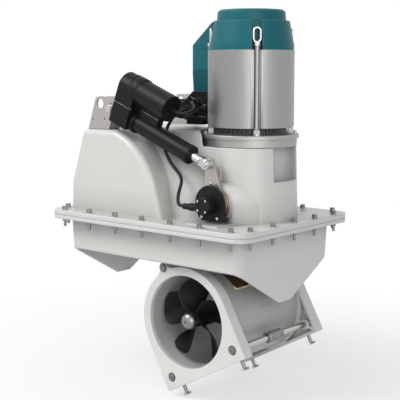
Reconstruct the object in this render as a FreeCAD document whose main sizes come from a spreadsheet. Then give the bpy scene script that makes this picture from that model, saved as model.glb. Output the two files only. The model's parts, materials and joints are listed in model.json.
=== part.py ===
"""Retractable bow thruster, modelled piece by piece in millimetres.

X runs along the long side of the flange towards the drive motor, Y athwart with
the actuator on its negative side, Z up. The origin is the middle of the lower
flange's underside. The model stands in its lowered state.
"""
import FreeCAD
import Part
import Sketcher
import math
import os
import re

Vector = FreeCAD.Vector
X_AXIS, Y_AXIS, Z_AXIS = Vector(1, 0, 0), Vector(0, 1, 0), Vector(0, 0, 1)

# Driving dimensions, in millimetres and degrees
SIZES = [
    ("flange_long", 700), ("flange_wide", 500), ("flange_corner", 45),
    ("hull_flange_thick", 10), ("gasket_thick", 2), ("cover_flange_thick", 12),
    ("bolt_inset", 20), ("bolt_pitch_long", 100), ("bolt_pitch_short", 95),
    ("bolt_radius", 4), ("bolt_hole_play", 0.4), ("bolt_flats", 13),
    ("bolt_head_high", 5.3), ("washer_radius", 8), ("washer_thick", 1.6),
    ("nut_high", 6.8), ("bolt_tail", 9),
    ("well_ledge", 40), ("well_wall", 8), ("well_corner", 30),
    ("well_draft", 7), ("well_side_deep", 84), ("skirt_deep", 190), ("skirt_tip_half", 26),
    ("cover_wall", 7), ("hump_ledge", 50), ("hump_top", 255), ("hump_edge_round", 18),
    ("hump_foot_ledge", 39), ("hump_waist_step", 5), ("hump_waist_high", 105),
    ("hump_shoulder_step", 50), ("hump_crest_step", 124),
    ("hump_back_x", 40), ("hump_back_z", 198), ("hump_heel_x", 12), ("hump_heel_z", 112),
    ("hump_foot_right", 43),
    ("saddle_foot_half", 150), ("saddle_top_half", 112), ("saddle_top", 258),
    ("saddle_round", 22), ("saddle_stop", 15),
    ("tower_foot_radius", 128.5), ("tower_top_radius", 122), ("tower_top", 218),
    ("tower_wall", 9), ("notch_deep", 88), ("notch_half", 50), ("notch_back", 92),
    ("boss_radius", 50), ("boss_start", 100), ("boss_back", 26), ("spot_face_deep", 20),
    ("pad_half", 54), ("pad_ledge", 42), ("pad_high", 4),
    ("adapter_high", 21), ("adapter_radius", 123), ("motor_flange_radius", 128),
    ("motor_flange_high", 11), ("motor_bore", 48),
    ("core_radius", 96), ("core_wall", 14), ("core_high", 210), ("fin_count", 48),
    ("fin_deep", 6), ("fin_gap", 4),
    ("jacket_lift", 18), ("jacket_radius", 112.6), ("jacket_wall", 2), ("jacket_high", 200),
    ("channel_half", 10), ("channel_deep", 13),
    ("cap_high", 76), ("cap_top_radius", 99), ("cap_slot_half", 8),
    ("cap_slot_deep", 7),
    ("crown_radius", 91), ("crown_high", 28), ("crown_round", 5),
    ("tie_bolt_radius", 6.5), ("tie_bolt_proud", 0.8), ("lug_wide", 16), ("lug_deep", 14),
    ("eye_long", 42), ("eye_wide", 24), ("eye_rod", 6), ("eye_lift", 10), ("eye_gap", 1.5),
    ("rotor_radius", 70), ("motor_shaft_radius", 14),
    ("box_reach", 163), ("box_half", 50), ("box_slant", 3), ("box_slant_high", 45),
    ("box_peak_back", 22), ("box_round", 5), ("box_depth", 25), ("boot_edge_high", 24), ("boot_round", 6),
    ("box_foot", 360), ("box_side_top", 470),
    ("box_peak", 530), ("box_gap", 0.5), ("boot_foot", 300), ("boot_flare", 38),
    ("tower_inset", 165), ("pivot_z", 75), ("leg_length", 330), ("leg_lean", 13.7),
    ("trunnion_radius", 20), ("trunnion_stub", 8), ("bush_wall", 5), ("bush_play", 0.05),
    ("bush_flange_radius", 46.4), ("spot_face_gap", 0.5),
    ("bush_flange_thick", 4), ("cheek_half", 62), ("cheek_thick", 13),
    ("cheek_radius", 36), ("neck_radius", 24), ("fork_deep", 92),
    ("web_high", 22), ("neck_flare", 30), ("neck_sink", 4),
    ("ball_radius", 20), ("ball_count", 6), ("drive_ball_radius", 4),
    ("bell_play", 1), ("bell_wall", 7), ("bell_rim", 14),
    ("drive_shaft_radius", 9), ("shaft_play", 0.05), ("running_gap", 0.5),
    ("pinion_teeth", 14), ("wheel_teeth", 20), ("gear_module", 2.2),
    ("house_radius", 34), ("house_wall", 4), ("nose_radius", 24), ("nose_reach", 108),
    ("nose_cone_long", 20), ("tail_cone_long", 10), ("tail_tip_long", 26), ("shaft_well_play", 8),
    ("tail_radius", 27), ("tail_reach", 92), ("prop_shaft_radius", 8),
    ("tunnel_lean", 29), ("tunnel_bore", 250), ("tunnel_wall", 11), ("tunnel_long", 360),
    ("ring_thick", 33), ("ring_half", 148), ("ring_bottom", 149.5), ("mouth_round", 3),
    ("ring_spigot_gap", 0.1),
    ("ring_corner", 5), ("ear_reach", 156.5), ("ear_radius", 14),
    ("rib_thick", 8), ("rib_long", 80), ("rib_far", 220),
    ("foot_bolt_side", 118), ("foot_bolt_down", 117.6), ("tie_rod_radius", 8),
    ("tie_head_radius", 9.5), ("tie_head_high", 5), ("tie_spot_wall", 3), ("tie_spot_deep", 1.2),
    ("sleeve_radius", 15), ("sleeve_long", 62),
    ("hatch_stud_radius", 5), ("hatch_stud_long", 26), ("hatch_stud_side", 112),
    ("hatch_stud_inset", 27), ("star_radius", 11), ("star_high", 6), ("star_count", 5),
    ("window_half", 92), ("window_start", 8), ("window_end", 77.5),
    ("slot_half", 27), ("slot_start", 30), ("slot_end", 104),
    ("seal_thick", 10.6), ("seal_gap", 0.3),
    ("shield_gap", 1.5), ("shield_thick", 3.5), ("shield_half", 89), ("shield_spread", 34),
    ("vane_count", 3), ("vane_first", 150), ("vane_step", 62), ("vane_thick", 6),
    ("vane_from", 44), ("vane_to", 84), ("vane_sleeve_wall", 7), ("sleeve_play", 0.1),
    ("prop_radius", 118), ("prop_y", 128), ("blade_count", 5), ("hub_radius", 21),
    ("hub_long", 40), ("blade_root_chord", 36), ("blade_mid_chord", 88), ("blade_thick", 7),
    ("blade_pitch", 42), ("blade_skew", 22), ("blade_first", 42.5),
    ("nose_long", 30), ("nose_cap_radius", 23),
    ("link_top_back", 33.5), ("link_top_z", 168), ("link_y", 98), ("link_thick", 10),
    ("link_pin_radius", 8), ("link_boss_radius", 16), ("link_boss_long", 22),
    ("link_gap", 0.5), ("link_eye_wall", 2.5),
    ("link_slot_long", 8.6), ("link_eye_play", 1.1), ("link_eye_shift", 0.7), ("link_half", 8),
    ("lever_length", 105), ("lever_lean", 8.2), ("lever_thick", 8), ("lever_hub_radius", 37),
    ("lever_eye_radius", 14), ("lever_gap", 6), ("lever_pin_radius", 7),
    ("clamp_screw_radius", 3), ("clamp_screw_half", 20), ("clamp_screw_pitch", 18),
    ("plate_gap", 18), ("plate_thick", 5), ("plate_radius", 50), ("plate_flat", 42),
    ("post_radius", 3.8), ("sensor_radius", 23), ("sensor_long", 34), ("plug_radius", 8),
    ("plug_long", 46), ("sensor_cable_radius", 4.5),
    ("act_inset", 32), ("act_anchor_step", 96.4), ("act_anchor_z", 311.4), ("act_tube_radius", 24),
    ("act_tube_long", 207), ("act_tube_start", 96),
    ("act_collar_radius", 29), ("act_rod_radius", 11), ("act_rod_play", 0.1),
    ("act_box_back", 24), ("act_box_long", 64), ("act_box_half", 36), ("act_box_low", 24),
    ("act_motor_offset", 82), ("act_motor_radius", 36), ("act_motor_long", 98),
    ("act_motor_cap_long", 16), ("act_cap_rim", 4), ("act_cap_deep", 3),
    ("act_web_long", 84), ("act_web_half", 12),
    ("act_tail_radius", 15), ("act_pin_radius", 7),
    ("act_rod_long", 195), ("rod_end_thick", 20), ("rod_end_radius", 14), ("pin_gap", 0.3),
    ("bracket_thick", 5), ("bracket_top", 345), ("bracket_wide", 81), ("bracket_edge", 20),
    ("bracket_round", 14), ("bracket_hole_radius", 13), ("bracket_hole_back", 34.4),
    ("bracket_hole_up", 13.6), ("bracket_small_radius", 2.5), ("bracket_space", 36),
    ("power_cable_radius", 6), ("lead_radius", 4), ("gland_radius", 9), ("gland_long", 14),
]

# Places that follow from the sizes, written as sheet formulas
WORKED = [
    ("well_long", "flange_long - 2 * well_ledge"),
    ("well_wide", "flange_wide - 2 * well_ledge"),
    ("hump_half_wide", "flange_wide / 2 - hump_ledge"),
    ("hump_foot_left", "flange_long / 2 - hump_foot_ledge"),
    ("hump_waist_left", "hump_foot_left - hump_waist_step"),
    ("hump_shoulder_left", "hump_waist_left - hump_shoulder_step"),
    ("hump_crest_right", "hump_shoulder_left - hump_crest_step"),
    ("pivot_x", "flange_long / 2 - tower_inset"),
    ("box_face", "pivot_x - box_reach"),
    ("link_top_x", "pivot_x - link_top_back"),
    ("pad_reach", "flange_wide / 2 - pad_ledge"),
    ("act_y", "hump_half_wide - act_inset"),
    ("act_anchor_x", "hump_shoulder_left - act_anchor_step"),
    ("boss_face", "act_y - boss_back"),
    ("lever_face", "boss_face + lever_gap"),
    ("plate_y", "lever_face + plate_gap"),
    ("cover_base", "hull_flange_thick + gasket_thick"),
    ("cover_top", "cover_base + cover_flange_thick"),
    ("bolt_row_y", "flange_wide / 2 - bolt_inset"),
    ("bolt_row_x", "flange_long / 2 - bolt_inset"),
    ("bolt_hole_radius", "bolt_radius + bolt_hole_play"),
    ("adapter_top", "tower_top + adapter_high"),
    ("motor_base", "adapter_top + motor_flange_high"),
    ("jacket_base", "motor_base + jacket_lift"),
    ("cap_base", "jacket_base + jacket_high"),
    ("crown_base", "cap_base + cap_high"),
    ("tunnel_x", "pivot_x - leg_length * sin(leg_lean)"),
    ("tunnel_z", "pivot_z - leg_length * cos(leg_lean)"),
    ("hatch_stud_along", "tunnel_long / 2 - hatch_stud_inset"),
    ("bush_radius", "trunnion_radius + bush_play"),
    ("bush_outer", "bush_radius + bush_wall"),
    ("tunnel_outer", "tunnel_bore / 2 + tunnel_wall"),
    ("pin_x", "pivot_x - lever_length * sin(lever_lean)"),
    ("pin_z", "pivot_z + lever_length * cos(lever_lean)"),
    ("act_run_x", "pin_x + act_anchor_x"),
    ("act_run_z", "pin_z - act_anchor_z"),
    ("act_lean", "atan2(0 - act_run_z; act_run_x)"),
    ("act_reach", "sqrt(act_run_x ^ 2 + act_run_z ^ 2)"),
    ("pinion_pitch", "gear_module * pinion_teeth / 2"),
    ("wheel_pitch", "gear_module * wheel_teeth / 2"),
]

document = FreeCAD.newDocument("bow_thruster")
sheet = document.addObject("Spreadsheet::Sheet", "Sizes")
places = document.addObject("Spreadsheet::Sheet", "Worked")
SIZE_NAMES = {name for name, _ in SIZES}
PLACE_NAMES = {name for name, _ in WORKED}
WORD = re.compile(r"[a-z][a-z_]*")


def tied(text):
    """Write a formula of plain size names as one that the document understands."""
    def full(match):
        word = match.group()
        if word in SIZE_NAMES:
            return "Sizes." + word
        if word in PLACE_NAMES:
            return "Worked." + word
        return word
    return WORD.sub(full, str(text))


def size(text):
    """The value of a formula of size names, as a plain number."""
    return float(sheet.evalExpression(tied(text)))


def fill_sheets():
    for row, (name, value) in enumerate(SIZES, 1):
        sheet.set("A%d" % row, name)
        sheet.set("B%d" % row, str(value))
        sheet.setAlias("B%d" % row, name)
    document.recompute()
    for row, (name, formula) in enumerate(WORKED, 1):
        places.set("A%d" % row, name)
        places.set("B%d" % row, "=" + tied(formula))
        places.setAlias("B%d" % row, name)
    document.recompute()


fill_sheets()
KEPT = []


def keep(thing, node):
    """Give a finished sub-part the name that its file carries."""
    thing.Label = node
    KEPT.append(thing)
    return thing


def bind(thing, **formulas):
    for name, formula in formulas.items():
        thing.setExpression(name, tied(formula))
    return thing


def put(thing, x="0", y="0", z="0", axis=(0, 1, 0), turn="0"):
    """Place a thing by formulas, turned about one axis through its own origin."""
    formula = "placement(vector(%s; %s; %s); rotation(vector(%s; %s; %s); %s))"
    thing.setExpression("Placement", tied(formula % ((x, y, z) + axis + (turn,))))
    return thing


def cylinder(name, radius, height, x="0", y="0", z="0", along="z", angle=None):
    """A cylinder that starts at a point and runs up, or towards +X or +Y."""
    thing = document.addObject("Part::Cylinder", name)
    bind(thing, Radius=radius, Height=height)
    if angle:
        bind(thing, Angle=angle)
    turn = {"z": ((0, 0, 1), "0"), "x": ((0, 1, 0), "90"), "y": ((1, 0, 0), "0 - 90")}[along]
    return put(thing, x, y, z, turn[0], turn[1])


def cut(name, base, tool):
    thing = document.addObject("Part::Cut", name)
    thing.Base, thing.Tool = base, tool
    return thing


def fuse(name, *parts):
    thing = document.addObject("Part::MultiFuse", name)
    thing.Shapes = list(parts)
    thing.Refine = True
    return thing


def made(name, shape, placement=None):
    """A sub-part whose shape is worked out here, then placed."""
    thing = document.addObject("Part::Feature", name)
    thing.Shape = shape
    if placement:
        thing.Placement = placement.multiply(shape.Placement)
    return thing


def body_sketch(body, plane, name, shift=None):
    """A sketch on one of the body's own origin planes, shifted along its normal."""
    sketch = body.newObject("Sketcher::SketchObject", name)
    flat = [f for f in body.Origin.OriginFeatures if f.Role == plane][0]
    sketch.AttachmentSupport = (flat, [""])
    sketch.MapMode = "FlatFace"
    if shift:
        sketch.setExpression(".AttachmentOffset.Base.z", tied(shift))
    return sketch


def tie(sketch, kind, *where, formula):
    number = sketch.addConstraint(Sketcher.Constraint(kind, *where, size(formula)))
    sketch.setExpression("Constraints[%d]" % number, tied(formula))


def outline(sketch, corners):
    """A closed run of straight lines through corners given as formulas."""
    spots = [Vector(size(x), size(y), 0) for x, y in corners]
    lines = [sketch.addGeometry(Part.LineSegment(spots[i - 1], spots[i]))
             for i in range(len(spots))]
    for i, line in enumerate(lines):
        sketch.addConstraint(Sketcher.Constraint("Coincident", line, 2, lines[(i + 1) % len(lines)], 1))
        tie(sketch, "DistanceX", -1, 1, line, 2, formula=corners[i][0])
        tie(sketch, "DistanceY", -1, 1, line, 2, formula=corners[i][1])


def pad(body, sketch, length, middle=False, back=False):
    thing = body.newObject("PartDesign::Pad", sketch.Name + "_pad")
    thing.Profile = sketch
    bind(thing, Length=length)
    thing.Midplane = middle
    thing.Reversed = back
    return thing


def pocket(body, sketch, length, middle=False, back=False):
    """Cut a sketch's outline out of the body, and make sure that it removes something."""
    document.recompute()
    before = body.Shape.Volume
    thing = body.newObject("PartDesign::Pocket", sketch.Name + "_pocket")
    thing.Profile = sketch
    bind(thing, Length=length)
    thing.Midplane = middle
    thing.Reversed = back
    document.recompute()
    if body.Shape.Volume > before - 1:
        raise RuntimeError(sketch.Name + " cuts nothing")
    return thing


def turned(body, sketch, axis="V_Axis"):
    thing = body.newObject("PartDesign::Revolution", sketch.Name + "_turned")
    thing.Profile = sketch
    thing.ReferenceAxis = (sketch, [axis])
    thing.Angle = 360
    return thing


def new_body(name):
    return document.addObject("PartDesign::Body", name)


def picked_edges(thing, test):
    """Names of the edges of a feature's shape that pass a test on the edge."""
    document.recompute()
    return ["Edge%d" % (i + 1) for i, edge in enumerate(thing.Shape.Edges) if test(edge)]


def upright(edge):
    """True for a straight edge along Z."""
    return isinstance(edge.Curve, Part.Line) and abs(edge.Curve.Direction.z) > 0.999


def rounded(body, base, radius, test):
    thing = body.newObject("PartDesign::Fillet", base.Name + "_round")
    thing.Base = (base, picked_edges(base, test))
    bind(thing, Radius=radius)
    return thing


def ring_of(shape, centre, axis, count, start=0.0):
    """Copies of a shape turned about an axis, evenly round the circle."""
    copies = []
    for i in range(count):
        copy = shape.copy()
        copy.rotate(centre, axis, start + 360.0 * i / count)
        copies.append(copy)
    return copies


def cylinder_shape(radius, height, x, y, z, axis=Z_AXIS):
    return Part.makeCylinder(radius, height, Vector(x, y, z), axis)


def hexagon(flats, height, x, y, z, axis=Z_AXIS):
    """A hexagonal prism, standing on a point and growing along an axis."""
    reach = flats / math.sqrt(3)
    corners = [Vector(reach * math.cos(math.radians(60 * i)), reach * math.sin(math.radians(60 * i)), 0)
               for i in range(7)]
    prism = Part.Face(Part.makePolygon(corners)).extrude(Vector(0, 0, height))
    prism.Placement = FreeCAD.Placement(Vector(x, y, z), FreeCAD.Rotation(Z_AXIS, axis))
    return prism


def fused(shapes):
    whole = shapes[0].multiFuse(shapes[1:]) if len(shapes) > 1 else shapes[0]
    return whole.removeSplitter()


# Flange, its gasket and its fasteners

def bolt_spots():
    """Middle of each flange bolt: two long rows and two short ones."""
    spots = []
    row_x, row_y = size("bolt_row_x"), size("bolt_row_y")
    pitch_long, pitch_short = size("bolt_pitch_long"), size("bolt_pitch_short")
    reach_long = int((row_x - size("flange_corner") / 2) // pitch_long)
    reach_short = int((row_y - size("flange_corner") / 2) // pitch_short)
    for side in (-1, 1):
        for i in range(-reach_long, reach_long + 1):
            spots.append((i * pitch_long, side * row_y))
        for i in range(-reach_short, reach_short + 1):
            spots.append((side * row_x, i * pitch_short))
    return spots


def flange_holes():
    depth = size("cover_top") + 2
    return made("flange_holes", Part.makeCompound(
        [cylinder_shape(size("bolt_hole_radius"), depth, x, y, -1) for x, y in bolt_spots()]))


def flange_plate(name, base, thick, open_middle=True):
    """A rounded rectangular plate, with the well's opening in its middle or whole."""
    body = new_body(name)
    sketch = body_sketch(body, "XY_Plane", name + "_outline", base)
    half_long, half_wide = "flange_long / 2", "flange_wide / 2"
    outline(sketch, [("0 - " + half_long, "0 - " + half_wide), (half_long, "0 - " + half_wide),
                     (half_long, half_wide), ("0 - " + half_long, half_wide)])
    plate = pad(body, sketch, thick)
    rounded(body, plate, "flange_corner", upright)
    if not open_middle:
        return body
    opening = body_sketch(body, "XY_Plane", name + "_opening", base)
    inner_long, inner_wide = "well_long / 2 - well_wall", "well_wide / 2 - well_wall"
    outline(opening, [("0 - (%s)" % inner_long, "0 - (%s)" % inner_wide),
                      (inner_long, "0 - (%s)" % inner_wide),
                      (inner_long, inner_wide), ("0 - (%s)" % inner_long, inner_wide)])
    hole = pocket(body, opening, thick, back=True)
    inner_x = size(inner_long) + 1
    rounded(body, hole, "well_corner - well_wall",
            lambda edge: upright(edge) and abs(edge.CenterOfMass.x) < inner_x
            and abs(edge.CenterOfMass.y) < size(inner_wide) + 1)
    return body


def make_gasket(holes):
    plate = flange_plate("gasket_plate", "hull_flange_thick", "gasket_thick")
    keep(cut("gasket", plate, holes), "flange_gasket")


def well_shell():
    """The tapered wall of the lower box, with its two pointed ends."""
    def block_at(inset):
        wires = []
        for depth in (0, -size("skirt_deep")):
            draft = size("well_draft") * -depth / size("skirt_deep") + inset
            half_x, half_y = size("well_long") / 2 - draft, size("well_wide") / 2 - draft
            flat = Part.makePlane(2 * half_x, 2 * half_y, Vector(-half_x, -half_y, depth))
            wires.append(rounded_wire(half_x, half_y, size("well_corner") - inset, depth))
        return Part.makeLoft(wires, True, True)

    shell = block_at(0).cut(block_at(size("well_wall")))
    half, tip = size("well_wide") / 2, size("skirt_tip_half")
    side, deep = -size("well_side_deep"), -size("skirt_deep")
    reach = size("well_long")
    corners = [(-half, 1), (half, 1), (half, side), (tip, deep), (-tip, deep), (-half, side), (-half, 1)]
    face = Part.Face(Part.makePolygon([Vector(-reach, y, z) for y, z in corners]))
    return shell.common(face.extrude(Vector(2 * reach, 0, 0)))


def rounded_wire(half_x, half_y, radius, z):
    """A closed rounded rectangle at one height."""
    edges = []
    turn = math.sqrt(0.5) * radius
    for sign_x, sign_y in ((1, -1), (1, 1), (-1, 1), (-1, -1)):
        middle = Vector(sign_x * (half_x - radius), sign_y * (half_y - radius), z)
        from_x = Vector(sign_x * half_x, middle.y, z)
        from_y = Vector(middle.x, sign_y * half_y, z)
        first, last = (from_y, from_x) if sign_x * sign_y < 0 else (from_x, from_y)
        bend = middle + Vector(sign_x * turn, sign_y * turn, 0)
        edges.append(Part.Arc(first, bend, last))
    wire = []
    for i, arc in enumerate(edges):
        following = edges[(i + 1) % 4]
        wire.append(arc.toShape())
        wire.append(Part.LineSegment(arc.EndPoint, following.StartPoint).toShape())
    return Part.Wire(wire)


def make_hull_box(holes):
    plate = flange_plate("hull_flange", "0", "hull_flange_thick")
    shell = made("well_walls", well_shell())
    whole = fuse("hull_box_whole", plate, shell)
    keep(cut("hull_box_drilled", whole, holes), "hull_box")


def make_flange_bolts():
    bolts, nuts = [], []
    top, bottom = size("cover_top"), 0.0
    washer, head = size("washer_thick"), size("bolt_head_high")
    tail, nut = size("bolt_tail"), size("nut_high")
    radius, flats = size("bolt_radius"), size("bolt_flats")
    for x, y in bolt_spots():
        shank = cylinder_shape(radius, top - bottom + washer * 2 + nut + tail + 1,
                               x, y, bottom - washer - nut - tail)
        disc = cylinder_shape(size("washer_radius"), washer, x, y, top)
        bolts.append(fused([shank, disc, hexagon(flats, head, x, y, top + washer)]))
        ring = cylinder_shape(size("washer_radius"), washer, x, y, bottom - washer)
        block_nut = hexagon(flats, nut, x, y, bottom - washer - nut)
        bore = cylinder_shape(radius + 0.02, nut + washer, x, y, bottom - washer - nut)
        nuts.append(fused([ring, block_nut]).cut(bore))
    keep(made("bolts", Part.makeCompound(bolts)), "flange_bolts")
    keep(made("nuts", Part.makeCompound(nuts)), "flange_nuts")


# Cover casting: hump over the raised tunnel, saddle, tower under the motor

def hump_face(inset):
    """Side view of the hump in the XZ plane, drawn in by a wall."""
    foot = size("cover_base") - 3 * inset
    spots = [Vector(-size("hump_foot_left"), 0, foot),
             Vector(-size("hump_waist_left"), 0, size("hump_waist_high")),
             Vector(-size("hump_shoulder_left"), 0, size("hump_top")),
             Vector(-size("hump_crest_right"), 0, size("hump_top"))]
    heel = Vector(size("hump_heel_x"), 0, size("hump_heel_z"))
    back = Vector(-size("hump_back_x"), 0, size("hump_back_z"))
    toe = Vector(size("hump_foot_right"), 0, foot)
    edges = [Part.makeLine(a, b) for a, b in zip(spots, spots[1:])]
    edges.append(Part.Arc(spots[-1], back, heel).toShape())
    edges += [Part.makeLine(heel, toe), Part.makeLine(toe, spots[0])]
    face = Part.Face(Part.Wire(edges))
    return face.makeOffset2D(-inset) if inset else face


def hump_shape(inset):
    half = size("hump_half_wide") - inset
    face = hump_face(inset)
    face.translate(Vector(0, -half, 0))
    shape = face.extrude(Vector(0, 2 * half, 0))
    high = size("cover_top") + inset + 1
    rims = [e for e in shape.Edges if abs(abs(e.CenterOfMass.y) - half) < 0.01 and e.CenterOfMass.z > high]
    under, right = size("hump_top") - inset - 1, -size("hump_crest_right") - inset - 1
    corner = [e for e in shape.Edges if abs(e.CenterOfMass.y) < 0.01
              and e.CenterOfMass.z > under and e.CenterOfMass.x < right]
    return shape.makeFillet(size("hump_edge_round") - inset, rims + corner)


def saddle_shape(inset):
    """The leaning-sided body between the hump and the tower."""
    foot, top = size("cover_base"), size("saddle_top") - inset
    low, high = size("saddle_foot_half") - inset, size("saddle_top_half") - inset
    left = -size("hump_crest_right")
    corners = [(-low, foot), (low, foot), (high, top), (-high, top), (-low, foot)]
    face = Part.Face(Part.makePolygon([Vector(left, y, z) for y, z in corners]))
    shape = face.extrude(Vector(size("pivot_x") - left, 0, 0))
    rims = [e for e in shape.Edges if abs(e.CenterOfMass.z - top) < 0.01 and abs(e.CenterOfMass.y) > 1]
    shape = shape.makeFillet(size("saddle_round") - inset, rims)
    stack = size("motor_flange_radius") + size("well_wall") + inset
    under = size("tower_top") - inset
    shape = shape.cut(cylinder_shape(stack, top, size("pivot_x"), 0, under))
    if inset:
        return shape
    stop = size("pivot_x") - size("saddle_stop")
    return shape.cut(Part.makeBox(2 * stack, 2 * low, top, Vector(stop, -low, under)))


def tower_shape(inset):
    foot, high = size("cover_base"), size("tower_top")
    outer, upper = size("tower_foot_radius") - inset, size("tower_top_radius") - inset
    x = size("pivot_x")
    shape = Part.makeCone(outer, upper, high - foot - inset, Vector(x, 0, foot))
    half, back = size("notch_half") + inset, size("notch_back") - inset
    floor = high - size("notch_deep") - inset
    notch = Part.makeBox(outer, 2 * half, high, Vector(x + back, -half, floor))
    return shape.cut(notch)


def boss_shapes():
    """The arched bosses that carry the pivot bushes, with the pad in front."""
    x, z, radius = size("pivot_x"), size("pivot_z"), size("boss_radius")
    face, foot, start = size("boss_face"), size("cover_base"), size("boss_start")
    shapes = []
    for side in (-1, 1):
        low = min(side * start, side * face)
        shapes.append(cylinder_shape(radius, face - start, x, low, z, Y_AXIS))
        shapes.append(Part.makeBox(2 * radius, face - start, z - foot, Vector(x - radius, low, foot)))
    half, reach = size("pad_half"), size("pad_reach")
    pad_block = Part.makeBox(2 * half, reach - start, size("cover_flange_thick") + size("pad_high"),
                             Vector(x - half, -reach, foot))
    shapes.append(pad_block.makeFillet(size("pad_high") * 2, [e for e in pad_block.Edges if upright(e)]))
    return shapes


def link_spot(side, reach):
    """A point on the upper link pivot, out to one side."""
    return size("link_top_x"), side * reach, size("link_top_z")


def link_bosses():
    """Blind bosses inside the cover that hold the upper pins of the tilt links."""
    start = size("link_y") + size("link_thick") / 2 + size("link_gap")
    long = size("link_boss_long")
    shapes = []
    for side in (-1, 1):
        x, y, z = link_spot(side, start)
        shapes.append(cylinder_shape(size("link_boss_radius"), long, x, y, z, Vector(0, side, 0)))
    return shapes


def link_pin_holes():
    start = size("link_y")
    long = size("link_thick") / 2 + size("link_gap") + size("link_boss_long") - 4
    return [cylinder_shape(size("link_pin_radius"), long, *link_spot(side, start), Vector(0, side, 0))
            for side in (-1, 1)]


def make_cover(holes):
    plate = flange_plate("cover_plate", "cover_base", "cover_flange_thick", open_middle=False)
    document.recompute()
    outer = plate.Shape.multiFuse([hump_shape(0), saddle_shape(0), tower_shape(0)])
    wall = size("cover_wall")
    hollow = hump_shape(wall).multiFuse([saddle_shape(wall), tower_shape(size("tower_wall"))])
    whole = outer.cut(hollow).multiFuse(boss_shapes() + link_bosses())
    x, z = size("pivot_x"), size("pivot_z")
    reach = size("boss_face") + 1
    cuts = [cylinder_shape(size("bush_outer"), 2 * reach, x, -reach, z, Y_AXIS)]
    cuts.append(cylinder_shape(size("motor_bore"), size("tower_wall") + 2, x, 0,
                               size("tower_top") - size("tower_wall") - 1))
    spot, deep = size("bush_flange_radius") + size("spot_face_gap"), size("spot_face_deep")
    for side in (-1, 1):
        low = min(side * size("boss_face"), side * (size("boss_face") + deep))
        cuts.append(cylinder_shape(spot, deep, x, low, z, Y_AXIS))
    whole = whole.cut(cuts + link_pin_holes() + [holes.Shape])
    keep(made("cover_casting", whole.removeSplitter()), "cover")


# Drive motor, standing on the tower

def turned_body(name, corners, x="pivot_x", y="0", z="0"):
    """A body turned from a half outline of radius and height formulas, standing on a point."""
    body = new_body(name)
    sketch = body_sketch(body, "XZ_Plane", name + "_half")
    outline(sketch, corners)
    turned(body, sketch)
    return put(body, x, y, z)


def make_motor_stack():
    ring = turned_body("adapter", [
        ("motor_bore", "0"), ("adapter_radius - 2", "0"), ("adapter_radius", "2"),
        ("adapter_radius", "adapter_high"), ("motor_bore", "adapter_high")], z="tower_top")
    keep(ring, "adapter_ring")
    flange = turned_body("flange_disc", [
        ("motor_bore", "0"), ("motor_flange_radius", "0"), ("motor_flange_radius", "motor_flange_high - 1.5"),
        ("motor_flange_radius - 1.5", "motor_flange_high"), ("motor_bore", "motor_flange_high")],
        z="adapter_top")
    keep(flange, "motor_flange")


def make_motor_core():
    """The finned stator housing, with its shaft bores and the hollow for the rotor."""
    inner = "core_radius - core_wall"
    shell = turned_body("core_turned", [
        ("motor_shaft_radius + shaft_play", "0"), ("core_radius", "0"), ("core_radius", "core_high"),
        ("motor_shaft_radius + shaft_play", "core_high"),
        ("motor_shaft_radius + shaft_play", "core_high - core_wall"), (inner, "core_high - core_wall"),
        (inner, "core_wall"), ("motor_shaft_radius + shaft_play", "core_wall")])
    put(shell, "pivot_x", "0", "motor_base")
    document.recompute()
    radius, deep, gap = size("core_radius"), size("fin_deep"), size("fin_gap")
    groove = Part.makeBox(2 * deep, gap, size("jacket_lift") + 4,
                          Vector(radius - deep, -gap / 2, size("motor_base") + 2))
    groove.translate(Vector(size("pivot_x"), 0, 0))
    middle = Vector(size("pivot_x"), 0, 0)
    grooves = ring_of(groove, middle, Z_AXIS, int(size("fin_count")))
    keep(made("core_finned", shell.Shape.cut(Part.makeCompound(grooves))), "motor_core")


CORNERS = 4
CORNER_START = 45


def around_motor(shape):
    """Copies of a shape at the four corners of the motor, from one that faces +X."""
    return ring_of(shape, Vector(size("pivot_x"), 0, 0), Z_AXIS, CORNERS, CORNER_START)


def make_jacket():
    """The bright sheet round the motor, with a channel down each corner."""
    radius, wall = size("jacket_radius"), size("jacket_wall")
    base, high, x = size("jacket_base"), size("jacket_high"), size("pivot_x")
    half, deep = size("channel_half"), size("channel_deep")
    sheet_outer = cylinder_shape(radius, high, x, 0, base)
    channel = Part.makeBox(2 * deep, 2 * half, high, Vector(x + radius - deep, -half, base))
    outer = sheet_outer.cut(Part.makeCompound(around_motor(channel)))
    bore = cylinder_shape(radius - wall, high, x, 0, base)
    inset = Part.makeBox(2 * deep + wall, 2 * (half + wall), high,
                         Vector(x + radius - deep - wall, -half - wall, base))
    bore = bore.cut(Part.makeCompound(around_motor(inset)))
    keep(made("jacket_sheet", outer.cut(bore)), "motor_jacket")


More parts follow.
